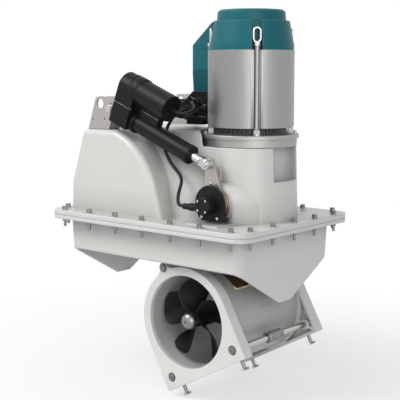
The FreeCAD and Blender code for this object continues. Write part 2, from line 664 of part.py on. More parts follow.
def make_motor_cap():
    """The tapering coloured cap, slotted above each lifting eye, with its crown disc."""
    body = turned_body("cap_turned", [
        ("0", "0"), ("jacket_radius", "0"), ("jacket_radius", "cap_high * 0.16"),
        ("cap_top_radius + 2", "cap_high - 2"), ("cap_top_radius", "cap_high"),
        ("0", "cap_high")], z="cap_base")
    document.recompute()
    x, half = size("pivot_x"), size("cap_slot_half")
    low, high = size("cap_base") - 1, size("cap_high") + 2
    start = x + size("cap_top_radius") - size("cap_slot_deep")
    slot = Part.makeBox(50, 2 * half, high, Vector(start, -half, low))
    wide, tall = size("eye_wide") / 2 + size("eye_gap"), size("eye_lift") + 6 + size("eye_long") + 5
    recess = Part.makeBox(50, 2 * wide, tall, Vector(start - 2, -wide, low))
    round_top = cylinder_shape(wide, 50, start - 2, 0, low + tall, X_AXIS)
    shape = body.Shape.cut(Part.makeCompound(around_motor(fused([slot, recess, round_top]))))
    keep(made("cap_slotted", shape), "motor_cap")
    crown = turned_body("crown_turned", [
        ("0", "0"), ("crown_radius", "0"), ("crown_radius - 2", "crown_high - crown_round"),
        ("crown_radius - 2 - crown_round", "crown_high"), ("0", "crown_high")], z="crown_base")
    keep(crown, "motor_crown")


def make_motor_fixings():
    """Tie bolts in the corner channels, the clamping lugs at their feet and the lifting eyes."""
    x, radius = size("pivot_x"), size("jacket_radius")
    wide, deep, lift = size("lug_wide"), size("lug_deep"), size("jacket_lift")
    base = size("motor_base")
    bolt = size("tie_bolt_radius")
    rod_x = x + radius + size("tie_bolt_proud") - bolt
    lug = Part.makeBox(deep, wide, lift - 4, Vector(rod_x - deep / 2, -wide / 2, base))
    lug = lug.fuse(hexagon(size("bolt_flats") - 1, 6, rod_x, 0, base + lift - 4))
    lug = lug.cut(cylinder_shape(bolt + 0.02, 2 * lift, rod_x, 0, base - 1))
    keep(made("lugs", Part.makeCompound(around_motor(lug))), "motor_lugs")
    top = size("cap_base") + size("eye_lift")
    rod = cylinder_shape(bolt, top - base, rod_x, 0, base)
    keep(made("tie_bolts", Part.makeCompound(around_motor(rod))), "motor_tie_bolts")
    keep(made("eyes", Part.makeCompound(around_motor(lifting_eye(rod_x, top)))), "lifting_eyes")


def lifting_eye(rod_x, base):
    """An oval ring on a collar, standing on the end of a tie bolt."""
    long, wide, rod = size("eye_long"), size("eye_wide"), size("eye_rod") / 2
    bend, straight = wide / 2 - rod, long - wide
    low = base + 6 + wide / 2
    spine = Part.Wire([
        Part.Arc(Vector(rod_x, -bend, low), Vector(rod_x, 0, low - bend), Vector(rod_x, bend, low)).toShape(),
        Part.makeLine(Vector(rod_x, bend, low), Vector(rod_x, bend, low + straight)),
        Part.Arc(Vector(rod_x, bend, low + straight), Vector(rod_x, 0, low + straight + bend),
                 Vector(rod_x, -bend, low + straight)).toShape(),
        Part.makeLine(Vector(rod_x, -bend, low + straight), Vector(rod_x, -bend, low))])
    start = Part.Wire(Part.makeCircle(rod, Vector(rod_x, bend, low), Z_AXIS))
    ring = spine.makePipeShell([start], True, True)
    collar = cylinder_shape(size("tie_bolt_radius") + 2, 9, rod_x, 0, base)
    return ring.fuse(collar)


def make_control_box():
    """The coloured terminal box on the motor's side, on its black boot."""
    x = size("pivot_x")
    face, half = size("box_face"), size("box_half")
    back = x - size("jacket_radius") + size("box_depth")
    foot, side, peak = size("box_foot"), size("box_side_top"), size("box_peak")
    slant = face + size("box_slant")
    corners = [(slant, foot), (face, foot + size("box_slant_high")), (face, side),
               (back - size("box_peak_back"), peak), (back, peak), (back, foot)]
    face_wire = Part.makePolygon([Vector(a, -half, b) for a, b in corners + corners[:1]])
    shape = Part.Face(face_wire).extrude(Vector(0, 2 * half, 0))
    near = face + 2 * size("box_round")
    shape = shape.makeFillet(size("box_round"), [e for e in shape.Edges if e.CenterOfMass.x < near])
    room = motor_room(size("box_gap"))
    keep(made("terminal_box", shape.cut(room)), "control_box")
    boot_low, toe = size("boot_foot"), face - size("boot_flare")
    spread = [(toe, boot_low), (toe, boot_low + size("boot_edge_high")), (slant, foot), (back, foot),
              (back, boot_low)]
    boot_wire = Part.makePolygon([Vector(a, -half, b) for a, b in spread + spread[:1]])
    boot = Part.Face(boot_wire).extrude(Vector(0, 2 * half, 0))
    boot = boot.makeFillet(size("boot_round"), [e for e in boot.Edges if e.CenterOfMass.x < face
                                                and abs(e.CenterOfMass.y) < 1])
    keep(made("boot", fused([boot.cut(room)] + gland_shapes())), "box_boot")


def motor_room(gap):
    """The space of the jacket and cap, grown by a gap, which the terminal box fits round."""
    x, radius, low = size("pivot_x"), size("jacket_radius") + gap, size("jacket_base")
    jacket = cylinder_shape(radius, size("cap_base") + size("cap_high") * 0.16 - low, x, 0, low)
    upper = size("cap_high") * 0.84
    cone = Part.makeCone(radius, size("cap_top_radius") + gap + 2, upper,
                         Vector(x, 0, size("cap_base") + size("cap_high") * 0.16))
    return jacket.fuse(cone)


# Swinging leg, on two trunnions in the cover's bosses

def spun(angle):
    return FreeCAD.Rotation(Y_AXIS, angle)


def leg_frame():
    """Origin on the pivot, with -Z down the leg."""
    return FreeCAD.Placement(Vector(size("pivot_x"), 0, size("pivot_z")), spun(size("leg_lean")))


def pivot_frame():
    return FreeCAD.Placement(Vector(size("pivot_x"), 0, size("pivot_z")), FreeCAD.Rotation())


def y_cylinder(radius, low, high, x=0.0, z=0.0):
    return cylinder_shape(radius, high - low, x, low, z, Y_AXIS)


def make_bushes():
    """Flanged bronze bushes, one pressed into each boss."""
    bushes = []
    face, thick = size("boss_face"), size("bush_flange_thick")
    bore, start = size("bush_radius"), size("boss_start")
    for side in (-1, 1):
        low, high = sorted((side * start, side * face))
        sleeve = y_cylinder(size("bush_outer"), low, high)
        low, high = sorted((side * face, side * (face + thick)))
        disc = y_cylinder(size("bush_flange_radius"), low, high)
        bushes.append(fused([sleeve, disc]).cut(y_cylinder(bore, -2 * face, 2 * face)))
    keep(made("bushes", Part.makeCompound(bushes), pivot_frame()), "pivot_bushes")


def make_leg():
    """One casting: two trunnions, the cheeks round the drive joint, and the neck."""
    radius, inner = size("trunnion_radius"), size("cheek_half")
    thick, deep = size("cheek_thick"), size("fork_deep")
    rear = size("boss_face") + size("bush_flange_thick") + size("trunnion_stub")
    front = size("lever_face") + size("lever_thick")
    wide = size("cheek_radius")
    shapes = [y_cylinder(radius, -front, -inner + 1), y_cylinder(radius, inner - 1, rear)]
    for side in (-1, 1):
        low, high = sorted((side * inner, side * (inner - thick)))
        shapes.append(y_cylinder(wide, low, high))
        shapes.append(Part.makeBox(2 * wide, thick, deep, Vector(-wide, low, -deep)))
    shapes.append(Part.makeBox(2 * wide, 2 * inner, size("web_high"), Vector(-wide, -inner, -deep)))
    sink, flare, neck = size("neck_sink"), size("neck_flare"), size("neck_radius")
    neck_foot = -size("leg_length") + size("house_radius") - sink
    shapes.append(cylinder_shape(neck, -deep - neck_foot + sink, 0, 0, neck_foot))
    shapes.append(Part.makeCone(neck, size("cheek_radius"), flare, Vector(0, 0, -deep - flare)))
    whole = fused(shapes)
    bore = cylinder_shape(size("drive_shaft_radius") + size("shaft_play"), size("leg_length"), 0, 0,
                          -size("leg_length"))
    house = y_cylinder(size("house_radius"), -inner, inner, 0, -size("leg_length"))
    keep(made("leg_casting", whole.cut([bore, house]), leg_frame()), "leg")


def make_leg_shield():
    """The curved plate on the leg's neck that fills the tunnel's window from inside."""
    outer, half = size("tunnel_bore") / 2 - size("shield_gap"), size("shield_half")
    inner, spread = outer - size("shield_thick"), size("shield_spread")
    shell = y_cylinder(outer, -half, half).cut(y_cylinder(inner, -half - 1, half + 1))
    plate = shell.common(sector(outer + 1, half, -spread, spread))
    neck = cylinder_shape(size("neck_radius"), 2 * outer, 0, 0, 0)
    keep(made("shield_plate", plate.cut(neck), house_frame()), "leg_shield")


def make_gear_house():
    """The slim gear house across the tunnel, hollow round the bevel gears."""
    radius, wall = size("house_radius"), size("house_wall")
    nose, tail = size("nose_radius"), size("tail_radius")
    shaft = size("prop_shaft_radius") + size("shaft_play")
    well = size("drive_shaft_radius") + size("shaft_well_play")
    room, cone, reach = radius - wall, size("nose_cone_long"), size("tail_reach")
    body = fused([y_cylinder(radius, -radius, radius),
                  Part.makeCone(nose, radius, cone, Vector(0, -radius - cone, 0), Y_AXIS),
                  y_cylinder(nose, -size("nose_reach"), -radius),
                  Part.makeCone(radius, tail, size("tail_cone_long"), Vector(0, radius, 0), Y_AXIS),
                  y_cylinder(tail, radius, reach),
                  Part.makeCone(tail, tail * 0.45, size("tail_tip_long"), Vector(0, reach, 0), Y_AXIS)])
    body = body.cut([y_cylinder(room, -room, room),
                     y_cylinder(shaft, -size("nose_reach") - 1, reach - cone),
                     cylinder_shape(well, 2 * radius, 0, 0, 0)])
    frame = leg_frame().multiply(FreeCAD.Placement(Vector(0, 0, -size("leg_length")), FreeCAD.Rotation()))
    keep(made("gear_house_casting", body, frame), "gear_house")


def gear_tooth(pitch_radius, back, teeth, thickness):
    """One straight bevel tooth: a trapezoid at the large end, shrinking to the cone's tip."""
    module = size("gear_module")
    slant = math.hypot(pitch_radius, back)
    face = min(0.32, 11 / slant)
    half = math.pi * module / 4 * thickness
    outer = []
    foot, tip = 1.15 * module / slant, 0.75 * module / slant
    for share in (0, face):
        scale = 1 - share
        low, high = pitch_radius - foot * back, pitch_radius + tip * back
        low_z, high_z = back + foot * pitch_radius, back - tip * pitch_radius
        corners = [Vector(low * scale, -half * 1.3 * scale, low_z * scale),
                   Vector(high * scale, -half * 0.6 * scale, high_z * scale),
                   Vector(high * scale, half * 0.6 * scale, high_z * scale),
                   Vector(low * scale, half * 1.3 * scale, low_z * scale)]
        outer.append(Part.makePolygon(corners + corners[:1]))
    return Part.makeLoft(outer, True, True)


def bevel_gear(pitch_radius, back, teeth, bore, phase):
    """A bevel gear about Z whose cone's tip is the origin and whose large end is at a height."""
    module = size("gear_module")
    slant = math.hypot(pitch_radius, back)
    face = min(0.32, 11 / slant)
    root = 1.0 * module
    low, low_z = pitch_radius - root * back / slant, back + root * pitch_radius / slant
    small = 1 - face
    hub_top = low_z + 5
    profile = [Vector(bore, 0, low_z * small), Vector(low * small, 0, low_z * small), Vector(low, 0, low_z),
               Vector(low - 2, 0, hub_top), Vector(bore, 0, hub_top), Vector(bore, 0, low_z * small)]
    blank = Part.Face(Part.makePolygon(profile)).revolve(Vector(), Z_AXIS, 360)
    tooth = gear_tooth(pitch_radius, back, teeth, 0.8)
    return blank.multiFuse(ring_of(tooth, Vector(), Z_AXIS, teeth, phase))


def house_frame(turn=None):
    """Origin in the middle of the gear house."""
    frame = leg_frame().multiply(FreeCAD.Placement(Vector(0, 0, -size("leg_length")), FreeCAD.Rotation()))
    return frame.multiply(FreeCAD.Placement(Vector(), turn)) if turn else frame


def make_gears():
    pinion = bevel_gear(size("pinion_pitch"), size("wheel_pitch"), int(size("pinion_teeth")),
                        size("drive_shaft_radius"), 90 + 180 / size("pinion_teeth"))
    keep(made("pinion", pinion, house_frame()), "drive_pinion")
    wheel = bevel_gear(size("wheel_pitch"), size("pinion_pitch"), int(size("wheel_teeth")),
                       size("prop_shaft_radius"), 270)
    keep(made("wheel", wheel, house_frame(FreeCAD.Rotation(X_AXIS, -90))), "bevel_wheel")


def make_drive_shafts():
    """The motor's shaft with its bell, and the leg's shaft with the ball that runs in it."""
    x, z = size("pivot_x"), size("pivot_z")
    ball, small = size("ball_radius"), size("drive_ball_radius")
    room = ball + small + size("bell_play")
    outer, rim = room + size("bell_wall"), size("bell_rim")
    bell = Part.makeSphere(outer, Vector(x, 0, z))
    bell = bell.cut([Part.makeSphere(room, Vector(x, 0, z)),
                     Part.makeBox(4 * outer, 4 * outer, 4 * outer,
                                  Vector(x - 2 * outer, -2 * outer, z + rim - 4 * outer))])
    foot = z + room + 2
    top = size("motor_base") + size("core_high") + 5
    shaft = cylinder_shape(size("motor_shaft_radius"), top - foot, x, 0, foot)
    keep(made("motor_shaft_bell", fused([bell, shaft])), "motor_shaft")
    rotor_low = size("motor_base") + size("core_wall") + 8
    rotor_high = size("motor_base") + size("core_high") - size("core_wall") - 8
    rotor = cylinder_shape(size("rotor_radius"), rotor_high - rotor_low, x, 0, rotor_low)
    bore = cylinder_shape(size("motor_shaft_radius"), rotor_high, x, 0, rotor_low)
    keep(made("rotor_stack", rotor.cut(bore)), "motor_rotor")
    drive = size("drive_shaft_radius")
    foot = -size("leg_length") + size("wheel_pitch") * 0.7
    shaft = cylinder_shape(drive, -foot, 0, 0, foot)
    balls = [Part.makeSphere(small, Vector(ball - 1, 0, 0))]
    shapes = [Part.makeSphere(ball), shaft] + ring_of(balls[0], Vector(), Z_AXIS, int(size("ball_count")))
    keep(made("leg_drive_shaft", fused(shapes), leg_frame()), "leg_shaft")
    reach = size("prop_y") + size("hub_long") / 2 + 6
    prop = y_cylinder(size("prop_shaft_radius"), -reach, size("tail_reach") - 24)
    keep(made("propeller_shaft", prop, house_frame()), "prop_shaft")


# Tunnel, hung on the gear house and steered by the tilt links

def tunnel_frame():
    """Origin in the tunnel's middle, Z towards the top ear."""
    return FreeCAD.Placement(Vector(size("tunnel_x"), 0, size("tunnel_z")), spun(-size("tunnel_lean")))


def sector(radius, half_long, start, end):
    """A slice of a cylinder along Y, between two angles from Z towards X."""
    slice_shape = Part.makeCylinder(radius, 2 * half_long, Vector(0, -half_long, 0), Y_AXIS, end - start)
    reference = slice_shape.CenterOfMass
    angle = math.degrees(math.atan2(reference.x, reference.z))
    slice_shape.rotate(Vector(), Y_AXIS, (start + end) / 2 - angle)
    return slice_shape


def make_tunnel_tube():
    """The short tunnel, with the window and slot that its leg swings through."""
    outer, bore = size("tunnel_outer"), size("tunnel_bore") / 2
    half = size("tunnel_long") / 2 - size("ring_thick") + size("ring_thick") * 0.6
    tube = y_cylinder(outer, -half, half).cut(y_cylinder(bore, -half - 1, half + 1))
    window = sector(outer + 5, size("window_half"), size("window_start"), size("window_end"))
    slot = sector(outer + 5, size("slot_half"), size("slot_start"), size("slot_end"))
    inner = y_cylinder(bore - 5, -half, half)
    keep(made("tube", tube.cut([window.cut(inner), slot.cut(inner)]), tunnel_frame()), "tunnel_tube")
    gap, thick = size("seal_gap"), size("seal_thick")
    middle = (outer + bore) / 2
    shell = y_cylinder(middle + thick / 2, -half, half).cut(y_cylinder(middle - thick / 2, -half, half))
    spare = math.degrees(gap / bore)
    seal = shell.common(sector(outer + 5, size("slot_half") - gap, size("window_end") + spare,
                               size("slot_end") - spare))
    keep(made("seal", seal, tunnel_frame()), "slot_seal")


def ring_outline_face(inset):
    """Front view of a tunnel ring: round above, straight sides, flat foot."""
    half, foot = size("ring_half") - inset, -size("ring_bottom") + inset
    corner = size("ring_corner")
    bulge = corner * (1 - math.sqrt(0.5))
    edges = [Part.Arc(Vector(half, 0, 0), Vector(0, 0, half), Vector(-half, 0, 0)).toShape(),
             Part.makeLine(Vector(-half, 0, 0), Vector(-half, 0, foot + corner)),
             Part.Arc(Vector(-half, 0, foot + corner), Vector(-half + bulge, 0, foot + bulge),
                      Vector(-half + corner, 0, foot)).toShape(),
             Part.makeLine(Vector(-half + corner, 0, foot), Vector(half - corner, 0, foot)),
             Part.Arc(Vector(half - corner, 0, foot), Vector(half - bulge, 0, foot + bulge),
                      Vector(half, 0, foot + corner)).toShape(),
             Part.makeLine(Vector(half, 0, foot + corner), Vector(half, 0, 0))]
    return Part.Face(Part.Wire(edges))


def tie_spots():
    """Where the three tie rods run through the rings."""
    side, down = size("foot_bolt_side"), size("foot_bolt_down")
    return [(0, size("ear_reach")), (side, -down), (-side, -down)]


def ring_shape():
    """A ring that faces -Y, from its open face at 0 back to its full depth."""
    thick, outer = size("ring_thick"), size("tunnel_outer")
    ear, reach = size("ear_radius"), size("ear_reach")
    plate = ring_outline_face(0).extrude(Vector(0, thick, 0))
    lug = y_cylinder(ear, 0, thick, 0, reach)
    spread = size("ear_radius") * 2.1
    rise = math.sqrt(size("ring_half") ** 2 - spread ** 2)
    cheek = [Vector(-spread, 0, rise - 1), Vector(-ear, 0, reach - 2), Vector(ear, 0, reach - 2),
             Vector(spread, 0, rise - 1), Vector(-spread, 0, rise - 1)]
    gusset = Part.Face(Part.makePolygon(cheek)).extrude(Vector(0, thick, 0))
    body = fused([plate, gusset, lug])
    floor = thick * 0.4
    recess = ring_outline_face(size("rib_thick")).extrude(Vector(0, thick, 0))
    recess.translate(Vector(0, floor, 0))
    spare = [y_cylinder(outer + size("rib_thick"), 0, 2 * thick)]
    spare += [y_cylinder(size("tie_head_radius") + 5, 0, 2 * thick, x, z) for x, z in tie_spots()[1:]]
    for side in (-1, 1):
        rib = Part.makeBox(size("rib_thick"), 2 * thick, size("rib_long"),
                           Vector(-size("rib_thick") / 2, 0, -size("rib_far")))
        rib.rotate(Vector(), Y_AXIS, side * 45)
        spare.append(rib)
    body = body.cut(recess.cut(spare))
    body = body.cut([y_cylinder(size("tunnel_bore") / 2, -1, thick + 1),
                     y_cylinder(outer + size("ring_spigot_gap"), floor, thick + 1)])
    hole, spot = size("tie_rod_radius") + size("shaft_play"), size("tie_head_radius") + size("tie_spot_wall")
    deep = size("tie_spot_deep")
    for x, z in tie_spots():
        body = body.cut([y_cylinder(hole, -1, thick + 1, x, z), y_cylinder(spot, -1, deep, x, z)])
    mouth = [e for e in body.Edges if abs(e.CenterOfMass.y) < 0.01 and isinstance(e.Curve, Part.Circle)
             and abs(e.Curve.Radius - size("tunnel_bore") / 2) < 0.01]
    return body.makeFillet(size("mouth_round"), mouth)


def make_rings():
    half = size("tunnel_long") / 2
    front = ring_shape()
    rear = front.mirror(Vector(), Y_AXIS)
    front.translate(Vector(0, -half, 0))
    rear.translate(Vector(0, half, 0))
    keep(made("front_ring", front, tunnel_frame()), "ring_front")
    keep(made("rear_ring", rear, tunnel_frame()), "ring_rear")


def make_tie_rods():
    """Rods through both rings, their heads sunk in spot faces, and the sleeve that joins one of them."""
    half = size("tunnel_long") / 2 - size("tie_spot_deep")
    head, high = size("tie_head_radius"), size("tie_head_high")
    radius = size("tie_rod_radius")
    rods, heads = [], []
    for x, z in tie_spots():
        rods.append(y_cylinder(radius, -half, half, x, z))
        for side in (-1, 1):
            low, high_y = sorted((side * half, side * (half + high * 0.4)))
            disc = y_cylinder(head, low, high_y, x, z)
            low, high_y = sorted((side * half, side * (half + high)))
            heads.append(fused([disc, y_cylinder(head * 0.72, low, high_y, x, z)]))
    keep(made("rods", Part.makeCompound(rods), tunnel_frame()), "tunnel_tie_rods")
    keep(made("heads", Part.makeCompound(heads), tunnel_frame()), "tie_rod_heads")
    x, z = tie_spots()[1]
    long = size("sleeve_long") / 2
    sleeve = fused([y_cylinder(size("sleeve_radius"), -long, long, x, z)])
    sleeve = sleeve.makeChamfer(2, [e for e in sleeve.Edges if isinstance(e.Curve, Part.Circle)])
    sleeve = sleeve.cut(y_cylinder(radius, -long - 1, long + 1, x, z))
    keep(made("sleeve", sleeve, tunnel_frame()), "rod_sleeve")


def make_hatch_studs():
    """Four studs with star nuts under the rings, for the hull plug that closes the well."""
    foot, long = -size("ring_bottom"), size("hatch_stud_long")
    radius, star, high = size("hatch_stud_radius"), size("star_radius"), size("star_high")
    studs = []
    points = int(size("star_count"))
    for x in (-size("hatch_stud_side"), size("hatch_stud_side")):
        for y in (-size("hatch_stud_along"), size("hatch_stud_along")):
            stud = cylinder_shape(radius, long, x, y, foot - long)
            corners = []
            for i in range(2 * points + 1):
                reach = star if i % 2 else star * 0.55
                angle = math.pi * i / points
                corners.append(Vector(x + reach * math.cos(angle), y + reach * math.sin(angle), foot - long))
            nut = Part.Face(Part.makePolygon(corners)).extrude(Vector(0, 0, high))
            studs.append(fused([stud, nut]))
    keep(made("studs", Part.makeCompound(studs), tunnel_frame()), "hatch_studs")


def make_vanes():
    """The sleeve that runs on the gear house, with the vanes that hold the tube to it."""
    inner = size("tail_radius") + size("sleeve_play")
    outer = inner + size("vane_sleeve_wall")
    low, high = size("vane_from"), size("vane_to")
    half = size("vane_thick") / 2
    reach = size("tunnel_bore") / 2
    shapes = [y_cylinder(outer, low, high)]
    for i in range(int(size("vane_count"))):
        vane = Part.makeBox(2 * half, high - low, reach - inner - 2, Vector(-half, low, inner + 2))
        vane.rotate(Vector(), Y_AXIS, size("vane_first") + i * size("vane_step"))
        shapes.append(vane)
    whole = fused(shapes).cut(y_cylinder(inner, low - 1, high + 1))
    whole = whole.common(y_cylinder(reach, low, high))
    keep(made("vanes", whole, tunnel_frame()), "guide_vanes")


# Propeller

def blade_section(radius, chord, thick, pitch, skew):
    """A closed, lens-like section in a flat plane square to the blade's own radius."""
    count = 9
    out = Vector(math.sin(skew), 0, math.cos(skew))
    across = Vector(math.cos(skew), 0, -math.sin(skew))
    upper, lower = [], []
    for i in range(count):
        share = i / (count - 1)
        along = (share - 0.5) * chord
        bulge = thick * math.sqrt(max(0.0, share * (1 - share))) * (1.15 - 0.3 * share)
        for side, line in ((1, upper), (-1, lower)):
            off = side * bulge + 0.06 * chord * (4 * share * (1 - share))
            round_way = along * math.cos(pitch) - off * math.sin(pitch)
            ahead = along * math.sin(pitch) + off * math.cos(pitch)
            line.append(out * radius + across * round_way + Y_AXIS * ahead)
    top, bottom = Part.BSplineCurve(), Part.BSplineCurve()
    top.interpolate(upper)
    bottom.interpolate(lower)
    return Part.Wire([top.toShape(), bottom.toShape()])


def blade_shape():
    reach, hub = size("prop_radius"), size("hub_radius")
    root, middle = size("blade_root_chord"), size("blade_mid_chord")
    thick, skew = size("blade_thick"), math.radians(size("blade_skew"))
    steps = 6
    wires = []
    for i in range(steps):
        share = i / (steps - 1)
        radius = hub * 0.8 + (reach - hub * 0.8) * share
        chord = root + (middle - root) * math.sin(math.pi * min(1.0, share * 0.95) * 0.8)
        chord *= math.sqrt(max(0.0, 1 - max(0.0, share - 0.55) ** 2 / 0.215))
        pitch = math.atan(math.tan(math.radians(size("blade_pitch"))) * 0.55 * reach / max(radius, 30))
        wires.append(blade_section(radius, chord, thick * (1 - 0.6 * share) / 2, pitch, skew * share ** 2))
    return Part.makeLoft(wires, True)


def make_propeller():
    """Five skewed blades on a hub, with the bright nose cap in front."""
    y, long, hub = size("prop_y"), size("hub_long"), size("hub_radius")
    shaft = size("prop_shaft_radius")
    middle = Vector(0, -y, 0)
    blade = blade_shape()
    blade.translate(middle)
    blades = ring_of(blade, middle, Y_AXIS, int(size("blade_count")), size("blade_first"))
    body = y_cylinder(hub, -y - long / 2, -y + long / 2 - size("running_gap"))
    whole = body.multiFuse(blades).cut(y_cylinder(shaft, -2 * y, 0))
    keep(made("screw", whole, house_frame()), "propeller")
    front = y + long / 2
    nose, radius = size("nose_long"), size("nose_cap_radius")
    profile = Part.Wire([
        Part.makeLine(Vector(0, -front, 0), Vector(0, -front, radius)),
        Part.makeLine(Vector(0, -front, radius), Vector(0, -front - nose * 0.45, radius)),
        Part.Arc(Vector(0, -front - nose * 0.45, radius),
                 Vector(0, -front - nose * 0.9, radius * 0.68),
                 Vector(0, -front - nose, radius * 0.3)).toShape(),
        Part.makeLine(Vector(0, -front - nose, radius * 0.3), Vector(0, -front - nose, 0)),
        Part.makeLine(Vector(0, -front - nose, 0), Vector(0, -front, 0))])
    cap = Part.Face(profile).revolve(Vector(), Y_AXIS, 360)
    keep(made("nose", cap.cut(y_cylinder(shaft, -front - 6, 0)), house_frame()), "prop_nose")


# Tilt links between the cover and the tunnel's ear rod

def ear_spot():
    """The ear rod's axis in the model's own frame, as X and Z."""
    spot = tunnel_frame().multVec(Vector(0, 0, size("ear_reach")))
    return spot.x, spot.z


def make_links():
    """Two flat links: the lower eye is a slot across the link that the ear rod slides in."""
    top_x, top_z = size("link_top_x"), size("link_top_z")
    ear_x, ear_z = ear_spot()
    length = math.hypot(ear_x - top_x, ear_z - top_z) + size("link_eye_shift")
    angle = math.degrees(math.atan2(ear_x - top_x, ear_z - top_z))
    pin, half, slot = size("link_pin_radius"), size("link_half"), size("link_slot_long")
    hole = size("tie_rod_radius") + size("link_eye_play")
    eye = hole + size("link_eye_wall")
    links = []
    for side in (-1, 1):
        low = side * size("link_y") - size("link_thick") / 2
        high = low + size("link_thick")
        shapes = [y_cylinder(pin + 6, low, high), y_cylinder(eye, low, high, 0, length),
                  y_cylinder(eye, low, high, -slot, length),
                  Part.makeBox(slot, high - low, 2 * eye, Vector(-slot, low, length - eye)),
                  Part.makeBox(2 * half, high - low, length, Vector(-half, low, 0))]
        cuts = [y_cylinder(pin + size("shaft_play"), low - 1, high + 1),
                y_cylinder(hole, low - 1, high + 1, 0, length),
                y_cylinder(hole, low - 1, high + 1, -slot, length),
                Part.makeBox(slot, high - low + 2, 2 * hole, Vector(-slot, low - 1, length - hole))]
        links.append(fused(shapes).cut(cuts))
    frame = FreeCAD.Placement(Vector(top_x, 0, top_z), spun(angle))
    keep(made("links", Part.makeCompound(links), frame), "tilt_links")
    pins = []
    for side in (-1, 1):
        start = size("link_y") - size("link_thick") / 2 - size("link_gap")
        x, y, z = link_spot(side, start)
        long = size("link_thick") + 2 * size("link_gap") + size("link_boss_long") - 4
        pin_shape = cylinder_shape(pin, long, x, y, z, Vector(0, side, 0))
        head = cylinder_shape(pin + 4, 4, x, y - side * 4, z, Vector(0, side, 0))
        pins.append(fused([pin_shape, head]))
    keep(made("pins", Part.makeCompound(pins)), "link_pins")


# Lever on the front trunnion

def make_lever():
    face, thick = size("lever_face"), size("lever_thick")
    low, high = -face - thick, -face
    hub, eye, long = size("lever_hub_radius"), size("lever_eye_radius"), size("lever_length")
    foot, tip = hub * 0.82, eye * 0.95
    corners = [(-foot, hub * 0.3), (-tip, long + 2), (tip, long + 2), (foot, hub * 0.3)]
    arm = Part.Face(Part.makePolygon([Vector(x, low, z) for x, z in corners + corners[:1]]))
    arm = arm.extrude(Vector(0, thick, 0))
    whole = fused([y_cylinder(hub, low, high), arm, y_cylinder(eye, low, high, 0, long)])
    slit = Part.makeBox(2.5, thick + 2, hub + 22, Vector(-1.25, low - 1, 0))
    cuts = [y_cylinder(size("trunnion_radius"), low - 1, high + 1), slit]
    screw = size("clamp_screw_radius")
    for z in clamp_heights():
        cuts.append(cylinder_shape(screw, 4 * hub, -2 * hub, (low + high) / 2, z, X_AXIS))
    frame = FreeCAD.Placement(Vector(size("pivot_x"), 0, size("pivot_z")), spun(-size("lever_lean")))
    keep(made("lever", whole.cut(cuts), frame), "lever_arm")
    screws = []
    reach = size("clamp_screw_half")
    for z in clamp_heights():
        body = cylinder_shape(screw, 2 * reach, -reach, (low + high) / 2, z, X_AXIS)
        screws.append(body.common(Part.makeBox(2 * reach, thick, long, Vector(-reach, low, 0))))
    keep(made("clamp_screws", Part.makeCompound(screws), frame), "lever_screws")


def clamp_heights():
    first = size("trunnion_radius") + size("clamp_screw_radius") * 2 + 3
    return [first + i * size("clamp_screw_pitch") * 0.5 for i in range(2)]


# Position sensor in front of the lever

def make_sensor():
    """A fixed plate on posts, the sensor body on it and its plug."""
    y, thick, radius = size("plate_y"), size("plate_thick"), size("plate_radius")
    plate = y_cylinder(radius, -y - thick, -y)
    flat = size("plate_flat")
    below = Part.makeBox(3 * radius, 2 * thick, radius,
                         Vector(-1.5 * radius, -y - 1.5 * thick, -flat - radius))
    bump = Part.makeBox(radius * 0.45, thick, radius * 0.3, Vector(radius * 0.72, -y - thick, -flat * 0.98))
    plate = fused([plate.cut(below), bump])
    posts = []
    face = size("boss_face") + size("bush_flange_thick")
    for x, z in post_spots():
        posts.append(y_cylinder(size("post_radius"), -y, -face, x, z))
    keep(made("plate", fused([plate] + posts), pivot_frame()), "sensor_plate")
    body = y_cylinder(size("sensor_radius"), -y - thick - size("sensor_long"), -y - thick)
    socket_y = sensor_plug_y()
    socket = Part.makeBox(size("sensor_radius") + 4, 20, 20,
                          Vector(-size("sensor_radius") - 4, socket_y - 10, -18))
    rims = [e for e in body.Edges if isinstance(e.Curve, Part.Circle) and e.CenterOfMass.y < -y - thick - 1]
    body = fused([body.makeChamfer(2, rims), socket])
    keep(made("sensor_body_shape", body, pivot_frame()), "sensor_body")
    plug_radius, long = size("plug_radius"), size("plug_long")
    start = -size("sensor_radius") - 4
    plug = fused([cylinder_shape(plug_radius, long, start - long, socket_y, -8, X_AXIS),
                  cylinder_shape(plug_radius + 2, 14, start - 26, socket_y, -8, X_AXIS)])
    keep(made("plug", plug, pivot_frame()), "sensor_plug")
    screws = []
    front = -y - thick - size("sensor_long")
    for x, z in [(-12, 12), (-12, -12)]:
        screws.append(y_cylinder(3, front - 2, front, x, z))
    for x, z in post_spots():
        screws.append(y_cylinder(4, -y - thick - 3, -y - thick, x, z))
    keep(made("small_screws", Part.makeCompound(screws), pivot_frame()), "sensor_screws")


def sensor_plug_y():
    return -size("plate_y") - size("plate_thick") - size("sensor_long") / 2


def post_spots():
    """Two posts low on the boss, clear of the lever's hub and its swing."""
    reach = size("lever_hub_radius") + size("post_radius") + 1
    return [(reach * math.sin(a), -reach * math.cos(a)) for a in (math.radians(-38), math.radians(38))]


# Electric cylinder

def act_frame():
    """Origin on the rear pin, X along the cylinder."""
    return FreeCAD.Placement(Vector(-size("act_anchor_x"), -size("act_y"), size("act_anchor_z")),
                             spun(size("act_lean")))


def x_cylinder(radius, low, high, y=0.0, z=0.0):
    return cylinder_shape(radius, high - low, low, y, z, X_AXIS)


